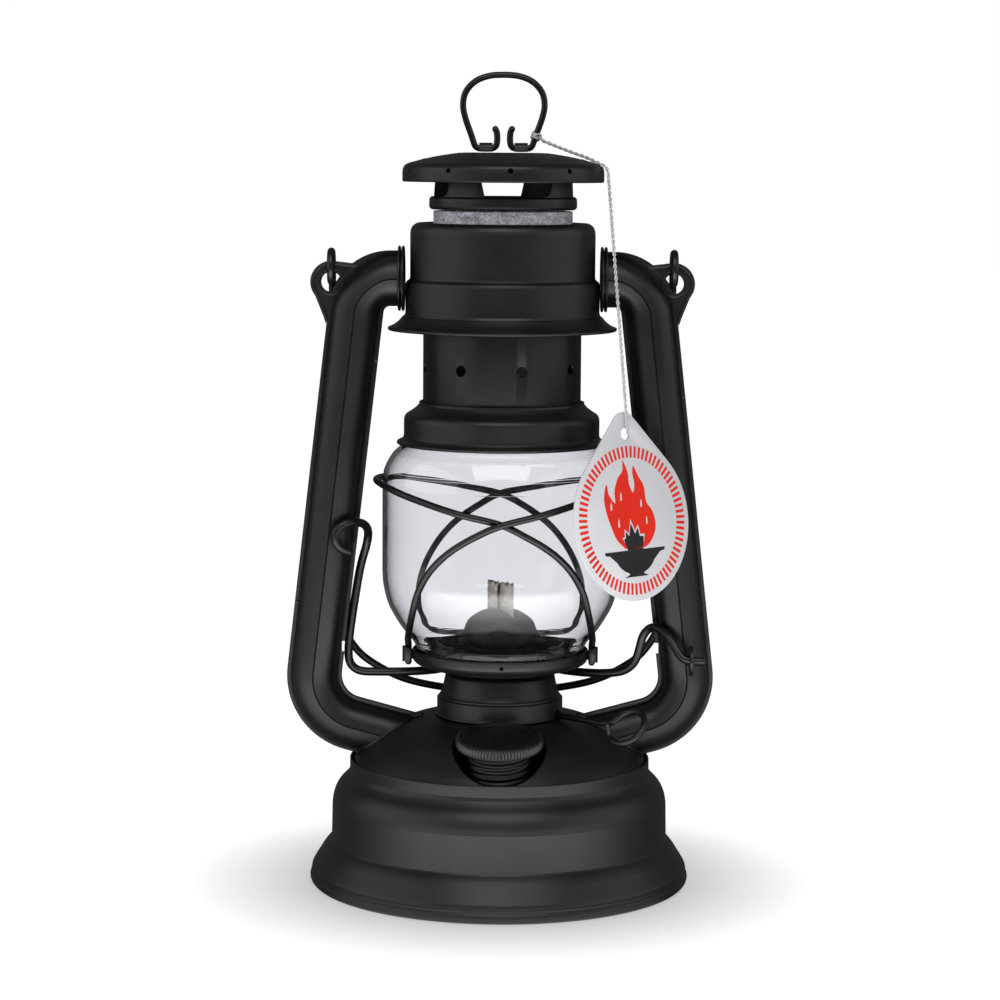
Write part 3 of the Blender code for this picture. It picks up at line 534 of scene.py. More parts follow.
def make_tank():
    wall = ([(51.7, 43.5), (52.0, 44.3), (52.5, 44.3), (52.7, 44.0)] + curved([(52.7, 40.4), (53.1, 39.0),
        (54.3, 37.5), (56.2, 35.6), (57.5, 33.6), (58.4, 31.2), (58.85, 28.6)]) + [(59.1, 15.7)]
            + curved([(59.5, 15.2), (60.9, 13.8), (62.3, 12.0), (63.4, 10.2), (64.5, 8.5), (65.6, 6.7)])
            + [(66.05, 5.6), (65.8, 5.2), (66.2, 4.9)] + arc(64.5, 2.3, 2.2, 50, -75, 8))
    piece("tank_wall", sheet(wall, corner=NARROW), ["tank_shell"])
    base = [(0.0, 5.2), (56.5, 5.2, 2.0), (60.5, 1.6, 1.0), (64.2, 1.6, 0.4), (64.2, 0.0, 0.6), (60.0, 0.0, 0.6),
            (55.8, 4.2, 2.0), (0.0, 4.2)]
    piece("tank_base", turned(soft(base)), ["tank_pan"])

    radii = np.append(np.arange(18.6, 51.3, 0.3), 51.4)
    front = np.arange(-27.0, 27.01, 0.4)
    around = np.radians(np.concatenate([front - 90, np.arange(-60.5, 240.1, 2.5)]))
    r, a = np.meshgrid(radii, around, indexing="ij")
    x, y = r * np.cos(a), r * np.sin(a)
    crease = np.exp(-((r - CREASE_R) / 0.45) ** 2) * 0.22
    dome = np.interp(r, DOME_R, DOME_Z) - crease
    pocket = pocket_height(x, y)
    blend = np.clip(0.5 + 0.5 * (pocket - dome) / 1.3, 0, 1)
    top = pocket * (1 - blend) + dome * blend - 1.3 * blend * (1 - blend)
    rows, columns = r.shape
    points = [tuple(p) for p in np.stack([x, y, top], -1).reshape(-1, 3)]
    points += [tuple(p) for p in np.stack([x, y, top - 0.8], -1).reshape(-1, 3)]
    faces = []
    under = rows * columns
    for j in range(columns):
        k = (j + 1) % columns
        for i in range(rows - 1):
            here, on, over, back = i * columns + j, (i + 1) * columns + j, (i + 1) * columns + k, i * columns + k
            faces += [(here, on, over, back), (here + under, back + under, over + under, on + under)]
        for i in (0, rows - 1):
            faces.append((i * columns + j, i * columns + k, i * columns + k + under, i * columns + j + under))
    piece("tank_top", (points, faces), ["tank_dome"], sharp=60)


def make_filler():
    outer = [(10.4, -3.0)] + [(10.4, -3.2 - 0.2 * i) for i in range(60)] + [(10.0, -15.6), (10.0, -22.0)]

    def thread(r, z, angle):
        depth = 0.45 * min(1.0, max(0.0, (z + 14.4) / 0.8)) * (r > 9.9)
        return r + depth * cos(tau * z / 2.3 - angle), z

    neck = turned(outer + [(8.8, -22.0), (8.8, -3.0)], 96, thread)
    piece("filler_spout", moved(neck, FILLER), ["filler_neck"], sharp=50)
    ring = turned(soft([(7.0, -2.4), (10.9, -2.4), (10.9, -1.2), (7.0, -1.2)], 0.2), FEW)
    piece("filler_seal", moved(ring, FILLER), ["filler_gasket"], "filler_gasket", "cork")

    teeth = 78
    line = ([(0.0, -0.75), (4.0, -0.8), (8.4, -0.95), (10.9, -1.1), (11.6, -0.9), (12.3, -0.3)]
            + arc(13.2, -0.85, 0.85, 120, 60, 4) + [(14.5, -0.6), (14.75, -1.0), (14.75, -1.4), (14.85, -2.0),
        (14.85, -2.8), (14.75, -3.5), (14.4, -4.0), (11.4, -4.0), (11.4, -1.5), (0.0, -1.5)])

    def milled(r, z, angle):
        if r > 14.0 and -3.9 < z < -0.7:
            return r + 0.15 - 0.42 * (0.5 + 0.5 * cos(teeth * angle)) ** 1.5, z
        if 0.5 < r < 10.5 and z > -1.2:
            petal = 0.5 + 0.5 * cos(6 * angle)
            return r, z + 0.35 * sin(pi * min(1, r / 9.5)) * petal
        return r, z

    piece("filler_lid", moved(turned(line, teeth * 6, milled), FILLER), ["filler_cap"], "filler_cap", sharp=55)


# ---------------------------------------------------------------- burner

WICK_TURN = -44.0
SHAFT = spin(WICK_TURN) @ at(0, 7.4, 60.6) @ facing((1, 0, 0))


def make_burner():
    line = [(14.6, 74.4, 0.1), (18.3, 74.4, 0.3), (19.2, 73.5, 0.6), (20.4, 67.7, 0.6), (20.9, 66.8, 0.2),
            (21.3, 66.5, 0.1), (21.3, 65.9, 0.1), (22.1, 65.6, 0.3), (22.1, 60.5, 0.5), (22.5, 60.0, 0.2),
            (22.7, 59.6, 0.2)]
    hole = moved(turned([(0, -8), (2.0, -8), (2.0, 8), (0, 8)], 24), SHAFT @ at(0, 0, 21))
    piece("burner_mantle", sheet(line, THIN_SHEET, NARROW), ["burner_body"], cuts=[hole], sharp=40)

    dome = [(13.4 * sin(t), 86.3 + 11.0 * cos(t)) for t in (radians(90 * i / 20) for i in range(21))]
    inner = [(r * 12.7 / 13.4, 86.3 + (z - 86.3) * 10.3 / 11.0) for r, z in dome]
    skirt = [(13.4, 85.7), (14.95, 85.55), (14.95, 84.95), (13.2, 84.8), (12.9, 83.4), (13.3, 83.0), (12.9, 82.6),
             (12.9, 79.0), (13.3, 78.6), (12.9, 78.2), (12.9, 74.9), (12.3, 74.9), (12.3, 84.2)]
    profile = dome + skirt + inner[::-1]
    slot = soft([(-12.4, -2.5, 2.4), (12.4, -2.5, 2.4), (12.4, 2.5, 2.4), (-12.4, 2.5, 2.4)], 0, 8)
    cutter = moved(prism(slot, 13.0), spin(WICK_TURN) @ at(0, 0, 93.9))
    piece("flame_cone", turned(profile, FEW), ["burner_cone"], cuts=[cutter], sharp=40)

    def stadium(half, thick, count=8):
        return (arc(half - thick, 0, thick, -90, 90, count) + arc(-half + thick, 0, thick, 90, 270, count))

    tube = moved(prism(stadium(7.05, 1.95), 40.0, [stadium(6.65, 1.55)]), spin(WICK_TURN) @ at(0, 0, 68.0))
    piece("wick_sleeve", tube, ["wick_tube"], look="brass")

    # The wick is a flat braid: two flat strands side by side, with rounded plaits and a ragged top
    points, faces = [], []
    heights = [18.0, 60.0, 90.0] + [92.0 + 0.22 * i for i in range(64)]
    around = 64
    for side in (-1, 1):
        start = len(points)
        for z in heights:
            for k in range(around):
                t = tau * k / around
                x, y = 3.0 * cos(t), 1.2 * sin(t)
                plait = 0.16 * sin(2.2 * z + side * 1.3 + 2.0 * cos(t) * side) * (z > 91)
                ragged = max(0.0, (z - 104.2)) * 0.35 * sin(7 * t + side)
                grow = 1 + plait / 1.2 * 0.5
                points.append((side * 3.15 + x * (1 + plait * 0.1), y * grow, z + ragged))
        count = len(heights)
        for i in range(count - 1):
            for k in range(around):
                m = (k + 1) % around
                faces.append(tuple(start + n for n in (i * around + k, i * around + m, (i + 1) * around + m,
                                                       (i + 1) * around + k)))
        faces += [tuple(start + k for k in range(around)), tuple(start + (count - 1) * around + k
            for k in range(around))]
    piece("wick_braid", moved((points, faces), spin(WICK_TURN)), ["wick"], "wick", "cotton", sharp=70)
    thread = smooth([(0, -0.9, 92), (0.15, -1.05, 98), (-0.1, -1.0, 102), (0.1, -0.9, 105.2)], 0.5)
    piece("wick_thread", moved(sweep(thread, 0.4, 10), spin(WICK_TURN)), body="wick", look="cotton",
          ink=BLACK_INK)

    rod = moved(turned(soft([(0, -9), (1.1, -9), (1.1, 20), (0, 20)], 0.2), 24), SHAFT)
    turn = [(6.8 * sin(a), 0.1, 53.4 - 6.8 * cos(a)) for a in (radians(a) for a in range(30, 326, 15))]
    loop = smooth([(0, 0, 19.0), (0, 0, 30), (0, 0, 40), (0.2, 0, 43.5), (1.3, 0, 46.2), *turn, (-3.2, 0.9, 47.6),
                   (-1.6, 1.9, 46.7)], 0.7)
    key = joined(rod, moved(sweep(loop, 1.08, 14), SHAFT @ spin(45)))
    piece("wick_key", key, ["wick_shaft", "wick_knob"], "wick_shaft", "black_wire")


# ---------------------------------------------------------------- side tubes

TUBE_CORNERS = [(34.0, 212.3, 0), (49.65, 212.3, 12.0), (66.94, 59.61, 17.8), (27.0, 48.77, 0)]
EAR_X, EAR_Z, EAR_R, EAR_HOLE_R = 59.4, 210.9, 7.3, 3.5
FLANGE, TUBE_DEPTH, EAR_SHEET = 9.62, 8.4, 0.8
NOTCH_Z, NOTCH_DEPTH = 83.0, 1.2  # where the lift wire crosses the inner flange
ROOF = [(1.0, 0.0), (0.99, 0.16), (0.95, 0.36), (0.86, 0.58), (0.72, 0.75), (0.52, 0.875), (0.3, 0.95),
        (0.1, 0.985), (0.035, 1.0), (0.0, 0.965)]


def tube_stations():
    """(point, normal, how far round the upper bend) along the right tube's centreline."""
    stations = []
    for i, (x, z, radius) in enumerate(TUBE_CORNERS):
        corner = Vector((x, z))
        if not radius:
            continue
        come = (corner - Vector(TUBE_CORNERS[i - 1][:2])).normalized()
        leave = (Vector(TUBE_CORNERS[i + 1][:2]) - corner).normalized()
        turn = come.angle(leave)
        start = corner - come * radius * math.tan(turn / 2)
        centre = start + Vector((come.y, -come.x)) * radius
        if i == 1:
            begin = Vector(TUBE_CORNERS[0][:2])
            stations += [(begin.lerp(start, k / 4), Vector((-come.y, come.x)), 0.0) for k in range(4)]
        else:
            last, count = stations[-1][0], 46
            stations += [(last.lerp(start, k / count), Vector((-come.y, come.x)), 0.0) for k in range(1, count)]
        steps = 20
        for k in range(steps + 1):
            share = k / steps
            normal = Vector((-come.y, come.x))
            normal.rotate(Matrix.Rotation(-turn * share, 2))
            stations.append((centre + normal * radius, normal, sin(pi * share) if i == 1 else 0.0))
    return stations


def section(narrowed):
    """(across, depth) of a tube half's outer skin and then its inner skin, from flange edge to flange edge."""
    low, high = -7.8, 7.8 - 1.8 * narrowed
    middle, half = (low + high) / 2, (high - low) / 2
    across = [(-share, deep) for share, deep in ROOF] + ROOF[-2::-1]
    outer = [(-FLANGE, 0.75), (-FLANGE, 0.95), (-9.4, 1.15), (-8.25, 1.15), (-7.95, 1.0)]
    outer += [(middle + share * half, 0.95 + deep * TUBE_DEPTH) for share, deep in across]
    outer += [(max(7.95, middle + half + 0.15), 1.0), (8.25, 1.15), (9.4, 1.15), (FLANGE, 0.95), (FLANGE, 0.75)]
    inner = [(middle + share * (half - 0.8), 0.15 + deep * TUBE_DEPTH) for share, deep in across]
    return outer + [(FLANGE, 0.15), *inner[::-1], (-FLANGE, 0.15)]


def on_dome(start, along, across_y):
    """How far from a start in x and z, along a direction, the line comes to just above the dome."""
    low, high = 0.0, 45.0
    for _ in range(30):
        middle = (low + high) / 2
        spot = start + along * middle
        r = math.hypot(spot.x, across_y)
        clear = spot.y - (dome_height(min(r, 51.4)) + 0.35) if r < 52.9 else 9.0
        low, high = (middle, high) if clear > 0 else (low, middle)
    return low


def make_tube(side, face, nodes):
    stations = tube_stations()
    points, rings = [], []

    def add_ring(spots):
        rings.append(list(range(len(points), len(points) + len(spots))))
        points.extend(spots)

    for point, normal, narrowed in stations:
        add_ring([(side * (point + normal * s).x, face * d, (point + normal * s).y) for s,
                  d in section(narrowed)])
    point, normal, _ = stations[-1]
    along = (Vector(TUBE_CORNERS[-1][:2]) - Vector(TUBE_CORNERS[-2][:2])).normalized()
    reach = [on_dome(point + normal * s, along, d) for s, d in section(0.0)]
    count = 12
    for k in range(1, count + 1):
        ring = []
        for (s, d), far in zip(section(0.0), reach):
            spot = point + normal * s + along * far * k / count
            ring.append((side * spot.x, face * d, spot.y))
        add_ring(ring)
    size = len(rings[0])
    faces = [(a[i], b[i], b[(i + 1) % size], a[(i + 1) % size]) for a,
             b in zip(rings, rings[1:]) for i in range(size)]
    faces += [tuple(rings[0]), tuple(rings[-1])]
    outer = len(ROOF) * 2 - 1 + 10
    rim = [Vector(points[i]) for i in rings[-1][1:outer - 1]]
    bead = sweep(relaxed(rim, 1), 0.62, 10)

    web = [(55.2, 204.5), (51.2, 212.0), (50.4, 217.2)]
    web += [(EAR_X + EAR_R * cos(a), EAR_Z + EAR_R * sin(a)) for a in (radians(100 - 4.5 * i) for i in range(32))]
    web += [(61.9, 198.4), (60.3, 196.6)]
    plate = prism(web[::-1], EAR_SHEET, [circle(EAR_HOLE_R, 32, EAR_X, EAR_Z)[::-1]])

    def upright(y):
        return Matrix.Diagonal((side, 1, 1, 1)) @ at(0, face * y, 0) @ spin(90, "X")

    rim_line = [Vector((x, z, 0)) for x, z in circle(4.3, 40, EAR_X, EAR_Z)]
    hole_ring = moved(sweep(rim_line, 0.55, 10, closed=True), upright(0.75))
    border = [(50.6, 216.2), (54.0, 216.8)]
    border += [(EAR_X + 6.5 * cos(a), EAR_Z + 6.5 * sin(a)) for a in (radians(94 - 5 * i) for i in range(28))]
    border += [(62.0, 201.0), (60.9, 197.4)]
    ridge = moved(sweep([Vector((x, z, 0)) for x, z in border], 0.75, 10), upright(0.6))
    marks = []
    for z, s in ((172.0, 8.9), (99.0, 8.9), (184.0, -8.9)):
        t = (TUBE_CORNERS[1][1] - z) / (TUBE_CORNERS[1][1] - TUBE_CORNERS[2][1])
        centre = Vector(TUBE_CORNERS[1][:2]).lerp(Vector(TUBE_CORNERS[2][:2]), t)
        marks.append(moved(turned(soft([(0, -0.5), (0.9, -0.5), (0.75, 0.35, 0.3), (0.0, 0.5)], 0.2), 16),
                           at(side * (centre.x + s), face * 1.0, z) @ spin(-90 * face, "X")))
    lean = (TUBE_CORNERS[2][0] - TUBE_CORNERS[1][0]) / (TUBE_CORNERS[1][1] - TUBE_CORNERS[2][1])
    edge = TUBE_CORNERS[1][0] + (TUBE_CORNERS[1][1] - NOTCH_Z) * lean - 9.8
    notch = box((4.0, 8.0, 4.0), (side * (edge - 2.0 + NOTCH_DEPTH), 0, NOTCH_Z))
    word = ("left" if side < 0 else "right") + ("_front" if face < 0 else "_rear")
    piece(f"{word}_tube_skin", (points, faces), nodes, cuts=[notch], sharp=32)
    piece(f"{word}_ear", moved(plate, upright(0.56)), sharp=40)
    piece(f"{word}_tube_beads", joined(bead, hole_ring, ridge, *marks), sharp=60)


def make_tubes():
    for side, word in ((-1, "left"), (1, "right")):
        for face, half in ((-1, "front"), (1, "rear")):
            make_tube(side, face, [f"{word}_tube_{half}"])
        bands = [soft([(10.0, x), (11.0, x), (11.35, x + 0.35), (11.35, x + 0.6), (11.0, x + 0.95),
                       (10.0, x + 0.95)], 0.2) for x in (34.0, 35.3)]
        rings = joined(*[turned(band, 72) for band in bands])
        piece(f"{word}_tube_bands", moved(rings, at(0, 0, TUBE_CORNERS[0][1]) @ facing((side, 0, 0))),
              [f"{word}_tube_collar"])


# ---------------------------------------------------------------- hood and chimney

RING_Z = 257.2  # the height of the ring's feet in their lugs


def round_holes(radius, length, places, sides=28):
    return [moved(turned([(0, -length / 2), (radius, -length / 2), (radius, length / 2), (0, length / 2)], sides),
                  m) for m in places]


def make_hood():
    line = [(24.9, 230.0, 0.1), (26.8, 230.0, 0.4), (27.5, 231.0, 0.3), (28.3, 231.7, 0.4), (29.4, 231.65, 0.5)]
    line += curved([(30.0, 231.45), (31.1, 230.7), (31.8, 229.6), (32.1, 228.1)]) + [(32.1, 213.0, 0.4)]
    line += curved([(32.25, 212.3), (32.8, 211.75), (33.4, 211.3), (33.7, 210.4)], 0.25) + [(33.7, 201.4)]
    line += curved([(33.75, 200.4), (34.2, 199.5)], 0.3) + [(34.75, 199.25)]
    line += curved([(35.0, 198.9), (36.2, 197.6), (37.8, 196.4), (39.3, 195.7)]) + arc(39.25, 195.1, 0.6, 60, -90,
        5)
    piece("hood_shell", sheet(line), ["hood"])
    guide = [(32.4, 201.6), (32.4, 200.9), (28.6, 200.9), (28.0, 201.5), (28.0, 203.6), (28.6, 203.6),
             (28.6, 201.6)]
    piece("inner_guide", turned(soft(guide, 0.2), FEW), ["hood_guide"])
    turns, low, high, radius = 4, 198.2, 228.0, 26.1
    count = turns * 40
    coil = [Vector((radius * cos(tau * turns * i / count), radius * sin(tau * turns * i / count),
                    low + (high - low) * i / count)) for i in range(count + 1)]
    spring = piece("return_spring", sweep(coil, 0.6, 10), ["chimney_spring"], look="spring_steel")
    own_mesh(spring)


def make_chimney():
    bell = [(28.8, 169.7), (28.8, 168.9)] + curved([(30.0, 167.6), (31.8, 166.3), (33.2, 165.4), (33.9, 164.4),
        (34.1, 163.4)])
    bell += [(34.1, 158.2)] + curved([(34.2, 157.5), (34.9, 156.7), (36.1, 156.1)], 0.3) + arc(36.0, 155.5, 0.6,
        70, -90, 5)
    piece("bell", sheet(bell), ["chimney_bell"], "chimney")
    vents = [spin(-90 - 30.8 + 45 * i) @ at(27.0, 0, 181.8) @ facing((1, 0, 0)) for i in range(8)]
    tube = [(24.5, 197.0, 0.1), (26.6, 197.0, 0.5), (27.5, 196.3, 0.4), (27.5, 168.6, 0.2)]
    piece("flue", sheet(tube), ["chimney_tube"], "chimney", cuts=round_holes(1.95, 6, vents), bevel=0.12)
    piece("zinc_sleeve", sheet([(24.1, 235.8), (24.1, 188.0)], THIN_SHEET, NARROW), ["chimney_sleeve"], "chimney",
          "zinc")

    crown = [(24.9, 250.0), (24.9, 240.6, 0.3), (25.5, 240.1, 0.3), (25.6, 239.0)] + arc(24.3, 237.5, 1.3, 0, -70,
        6) + [(24.5, 236.2)]
    windows = []
    for i in range(4):
        outline = soft([(-11.3, -1.7, 3.2), (11.3, -1.7, 3.2), (13.2, 8.0, 0.0), (-13.2, 8.0, 0.0)], 0, 8)
        windows.append(moved(prism(outline, 18.0), spin(-90 + 12.5 + 90 * i) @ at(24.0, 0, 242.4)
                             @ facing((1, 0, 0))))
    piece("smoke_crown", sheet(crown, THIN_SHEET), ["vent_crown"], "chimney", cuts=windows, bevel=0.12)

    cap = [(0.0, 255.8), (13.0, 255.8), (15.5, 255.7)] + curved([(17.0, 255.5), (20.9, 254.9), (24.0, 254.35),
        (26.8, 253.7)])
    cap += curved([(27.2, 253.75), (30.0, 252.9), (32.4, 252.25), (33.9, 251.5), (34.65, 250.5), (34.9, 249.2)],
                  0.3)
    cap += [(34.9, 246.6)] + arc(34.3, 246.25, 0.6, 0, -90, 4)
    holes = [spin(-90 + 3.9 + 36 * i) @ at(34.0, 0, 249.6) @ facing((1, 0, 0.1)) for i in range(10)]
    piece("cowl", sheet(cap), ["chimney_cap"], "chimney", cuts=round_holes(0.95, 6, holes, 16), bevel=0.1)

    saddle = [(3.8, -1.1), (3.8, -0.5), (2.1, -0.4), *arc(0, 0, 2.0, 0, 180, 16), (-2.1, -0.4), (-3.8, -0.5),
              (-3.8, -1.1)]
    saddle += [(-1.42, -1.1), *arc(0, 0, 1.4, 0, 180, 16)[::-1], (1.42, -1.1)]
    for side, word in ((-1, "left"), (1, "right")):
        lug = moved(prism(saddle, 4.6), at(side * 6.1, 0, RING_Z) @ spin(90) @ spin(90, "X"))
        piece(f"{word}_lug", lug, [f"{word}_ring_lug"], "chimney", sharp=40, bevel=0.18)
    half = [(2.9, 0, 263.9), (2.35, 0, 263.0), (2.2, 0, 261.2), (2.25, 0, 259.2), (2.8, 0, 257.8),
            (3.9, 0, RING_Z), (8.3, 0, RING_Z), (9.6, 0, 257.7), (10.3, 0, 259.2), (11.3, 0, 262.2),
            (13.1, 0, 267.2), (14.05, 0, 271.8), (13.2, 0, 276.4), (9.9, 0, 280.1), (5.2, 0, 282.0)]
    ring = relaxed(smooth([*half, (0, 0, 282.4), *mirrored(half)], 0.6), 2)
    piece("lifting_ring", sweep(ring, 1.1, 18), ["cap_ring"], "cap_ring", "black_wire", sharp=60)


# ---------------------------------------------------------------- globe carrier


GLASS_WALL = 1.5


def leaf(a):
    """The inner and outer point of a guard socket's rolled strip at an angle."""
    return [(r * cos(a), r * sin(a)) for r in (1.45, 2.15)]


def make_globe():
    outer = curved([(30.7, 164.0), (30.8, 160.5), (31.6, 157.2), (34.6, 154.6), (37.6, 152.0), (39.8, 148.6),
                    (41.1, 145.3), (41.5, 141.0)], 0.8)
    outer += curved([(41.5, 140.0), (41.5, 112.0)], 4.0)
    outer += curved([(41.5, 110.5), (41.1, 105.5), (39.6, 99.4), (37.2, 94.6), (34.2, 90.0), (31.2, 86.4),
                     (29.8, 84.0), (29.4, 81.0)], 0.8)
    piece("globe", sheet(outer, GLASS_WALL, 0.6, 180), ["globe_glass"], "globe_carrier", "glass", sharp=60)

    dish = arc(30.3, 82.0, 0.7, 90, 0, 4) + [(31.0, 80.6)] + curved([(30.9, 79.5), (30.2, 78.4), (29.0, 77.6),
        (27.2, 77.0), (24.8, 76.4)])
    dish += curved([(22.6, 75.8), (20.0, 75.25), (15.4, 75.2)])
    ears = []
    for side in (-1, 1):
        points, faces, steps = [], [], 26
        for i in range(steps + 1):
            share = i / steps
            a = radians(-158 + 316 * share)
            top, foot = 84.3 - 1.9 * abs(2 * share - 1) ** 2, 78.6 + 1.6 * abs(2 * share - 1)
            (x0, y0), (x1, y1) = leaf(a)
            points += [(x0, y0, foot), (x1, y1, foot - 0.1), (x1, y1, top - 0.1), (x0, y0, top)]
            if i:
                faces += [tuple(4 * (i - 1) + n for n in (k, (k + 1) % 4))
                          + tuple(4 * i + n for n in ((k + 1) % 4, k)) for k in range(4)]
        faces += [(0, 1, 2, 3), tuple(4 * steps + n for n in (3, 2, 1, 0))]
        ears.append(moved((points, faces), at(side * 32.1, -5.0, 0) @ Matrix.Diagonal((side, 1, 1, 1))
                          @ spin(-9)))
    front_hole = round_holes(0.75, 6, [spin(-89.0) @ at(30.8, 0, 80.6) @ facing((1, 0, 0))], 16)
    piece("globe_seat", sheet(dish, corner=0.1), ["globe_plate"], "globe_carrier", cuts=front_hole, sharp=35)
    piece("guard_sockets", joined(*ears), body="globe_carrier", bevel=0.15, sharp=50)
    plate = [(15.4, 80.0), (17.0, 80.0), (17.6, 80.9), (18.6, 80.9), (19.2, 80.0), (25.2, 80.0), (25.8, 80.8),
             (26.8, 80.8), (27.4, 80.0), (29.2, 80.0), (29.2, 79.4), (15.4, 79.4)]
    slots = [moved(prism(soft([(-2.2, -1.3, 1.2), (2.2, -1.3, 1.2), (2.2, 1.3, 1.2), (-2.2, 1.3, 1.2)], 0, 4),
                         4.0), spin(15 + 20 * i) @ at(22.2, 0, 80.0) @ spin(90)) for i in range(18)]
    piece("air_plate", turned(soft(plate, 0.2)), ["air_diffuser"], "globe_carrier", cuts=slots, sharp=40)

    half = [(-32.1, -5.0, 78.6), (-32.1, -5.0, 84.4), (-32.1, -8.0, 86.2), (-32.0, -14.0, 88.0),
            (-31.4, -21.4, 92.2), (-30.1, -28.6, 99.0), (-28.3, -32.4, 106.4), (-24.9, -35.9, 113.4),
            (-20.6, -38.6, 118.8), (-15.2, -41.0, 123.4), (-8.0, -43.4, 127.8), (0, -46.05, 131.6),
            (14.8, -43.0, 135.2), (28.2, -34.0, 138.6), (37.2, -23.2, 141.0), (43.7, 0, 142.2),
            (37.2, 23.2, 141.0), (28.2, 34.0, 138.8), (14.8, 43.0, 135.6)]
    rear = [(0, 46.05, 132.4), (-8.0, 43.6, 128.6), (-15.3, 41.4, 124.0), (-21.0, 38.8, 119.0),
            (-26.2, 35.8, 112.0), (-29.8, 34.0, 104.0), (-31.2, 33.0, 95.0), (-30.6, 33.0, 88.2),
            (-28.8, 33.1, 84.2), (-25.6, 33.2, 82.6)]
    bar = [(x, 33.2, 82.6) for x in (-13, 0, 13)]
    back = [(-x, y * (1 - 2.7 / abs(y)) if x == 0 else y, z) for x, y, z in (half + rear)[::-1]]
    guard = relaxed(smooth(half + rear + bar + back, 1.2), 2)
    piece("guard_wire", sweep(guard, 1.2, 16), ["globe_guard"], "globe_carrier", "black_wire", sharp=60)
    clip = prism([(-1.6, -5.4), (-0.9, -5.4), (-0.9, -2.4), *arc(0, 0, 2.2, -100, 70, 16),
                  *arc(0, 0, 1.5, 70, -110, 16), (-1.6, -1.9)], 5.0)
    piece("guard_clip", moved(clip, at(0, 33.2, 82.6) @ spin(90) @ spin(90, "X")), ["guard_rear_clip"],
          "globe_carrier", bevel=0.15, sharp=40)

    left = [(-52.6, -9.8, 117.6), (-56.2, -11.6, 119.6), (-57.5, -11.9, 123.6), (-55.6, -11.3, 127.0),
            (-51.4, -9.2, 128.2), (-47.7, -4.4, 126.8), (-46.5, 0.6, 123.4), (-47.2, 2.6, 118.6),
            (-49.5, 3.2, 110.0), (-52.4, 3.2, 92.0), (-53.5, 3.2, 82.0), (-53.0, 3.2, 76.6), (-49.8, 3.2, 73.8)]
    under = [(-42.0, 3.4, 73.4), (-31.0, 4.6, 73.4), (-22.8, 8.6, 73.4), (-16.8, 15.6, 73.4), (0, 22.8, 73.4),
             (16.8, 15.6, 73.4), (22.8, 8.6, 73.4), (31.0, 3.4, 73.5)]
    right = [(38.0, 0.8, 73.9), (43.6, -0.6, 75.0), (47.2, -2.0, 78.2), (48.8, -3.0, 83.0), (50.0, -3.6, 88.0),
             (52.6, -5.0, 91.2), (55.4, -8.0, 91.2), (58.6, -11.2, 88.8), (61.2, -13.6, 85.0),
             (63.2, -15.2, 82.0), (66.0, -15.6, 81.2), (70.2, -15.6, 81.0)]
    lever = relaxed(smooth(left + under + right, 1.0), 3)
    piece("lift_lever", sweep(lever, 1.5, 18), ["lift_wire"], "globe_carrier", "black_wire", sharp=60)
    disc = turned(soft([(2.0, -0.6), (5.2, -0.6), (5.2, 0.6), (2.0, 0.6)], 0.3), 48)
    piece("thumb_disc", moved(disc, at(66.2, -15.6, 81.2) @ facing((1, 0, 0))), ["lift_thumb_disc"],
          "globe_carrier")


def make_bail():
    hook = [(EAR_X, 5.3 * cos(a), 216.3 + 5.3 * sin(a)) for a in (radians(a) for a in range(285, -1, -12))]
    arm = [(59.4, 6.6, 209.0), (59.5, 8.6, 200.0), (59.6, 10.6, 180.0), (59.6, 12.4, 160.0), (59.5, 14.8, 140.0),
           (59.2, 17.4, 120.0), (58.6, 19.8, 102.0), (56.9, 21.6, 88.0), (52.3, 22.8, 79.0), (45.7, 23.8, 73.0),
           (33.8, 24.8, 67.0), (17.0, 25.4, 63.6)]
    half = hook + arm
    line = relaxed(smooth([*half, (0, 25.6, 62.5), *mirrored(half)], 1.0), 2)
    piece("carrying_bail", sweep(line, 1.35, 18), ["bail"], "bail", "black_wire", sharp=60)


# ---------------------------------------------------------------- tag and string

TAG = at(44.5, -29.0, 131.8) @ spin(43.0) @ spin(90 - 8.0, "X")
TAG_R, TAG_TIP, TAG_HOLE, CARD, INK = 27.4, 37.0, 29.5, 0.6, 0.06
CORD_EXIT = (13.4, -1.5, 260.0)


def strand_pair(route, apart, radius, pitch):
    """Two yarns twisted round a route."""
    base, travelled, lines = frames(route), 0.0, ([], [])
    for i, (point, (_, side, up)) in enumerate(zip(route, base)):
        if i:
            travelled += (point - route[i - 1]).length
        for k, line in enumerate(lines):
            a = tau * travelled / pitch + pi * k
            line.append(point + (side * cos(a) + up * sin(a)) * apart)

    def ply(along, around):
        return 1.0 + 0.13 * cos(3 * around - tau * along / 1.3)

    return joined(*[sweep(line, radius, 12, shape=ply) for line in lines])


def make_string():
    end = TAG @ Vector((0, TAG_HOLE, 1.6))
    edge = Vector((36.1, -10.2, 246.0))
    knots = [CORD_EXIT, (16.0, -2.4, 259.0), (20.0, -3.8, 257.4), (24.0, -5.4, 255.9), (28.0, -6.9, 254.5),
             (32.6, -8.6, 252.4), (35.3, -9.7, 250.6), tuple(edge)]
    knots += [tuple(edge.lerp(end, i / 5)) for i in range(1, 6)]
    route = smooth(knots, 0.35)
    length = sum((b - a).length for a, b in zip(route, route[1:]))
    string = piece("tag_cord", strand_pair(route, 0.33, 0.29, 4.2), ["tag_string"], "chimney", "string", sharp=70)
    return string, [tuple(p * MM) for p in route[::4] + route[-1:]], length * MM


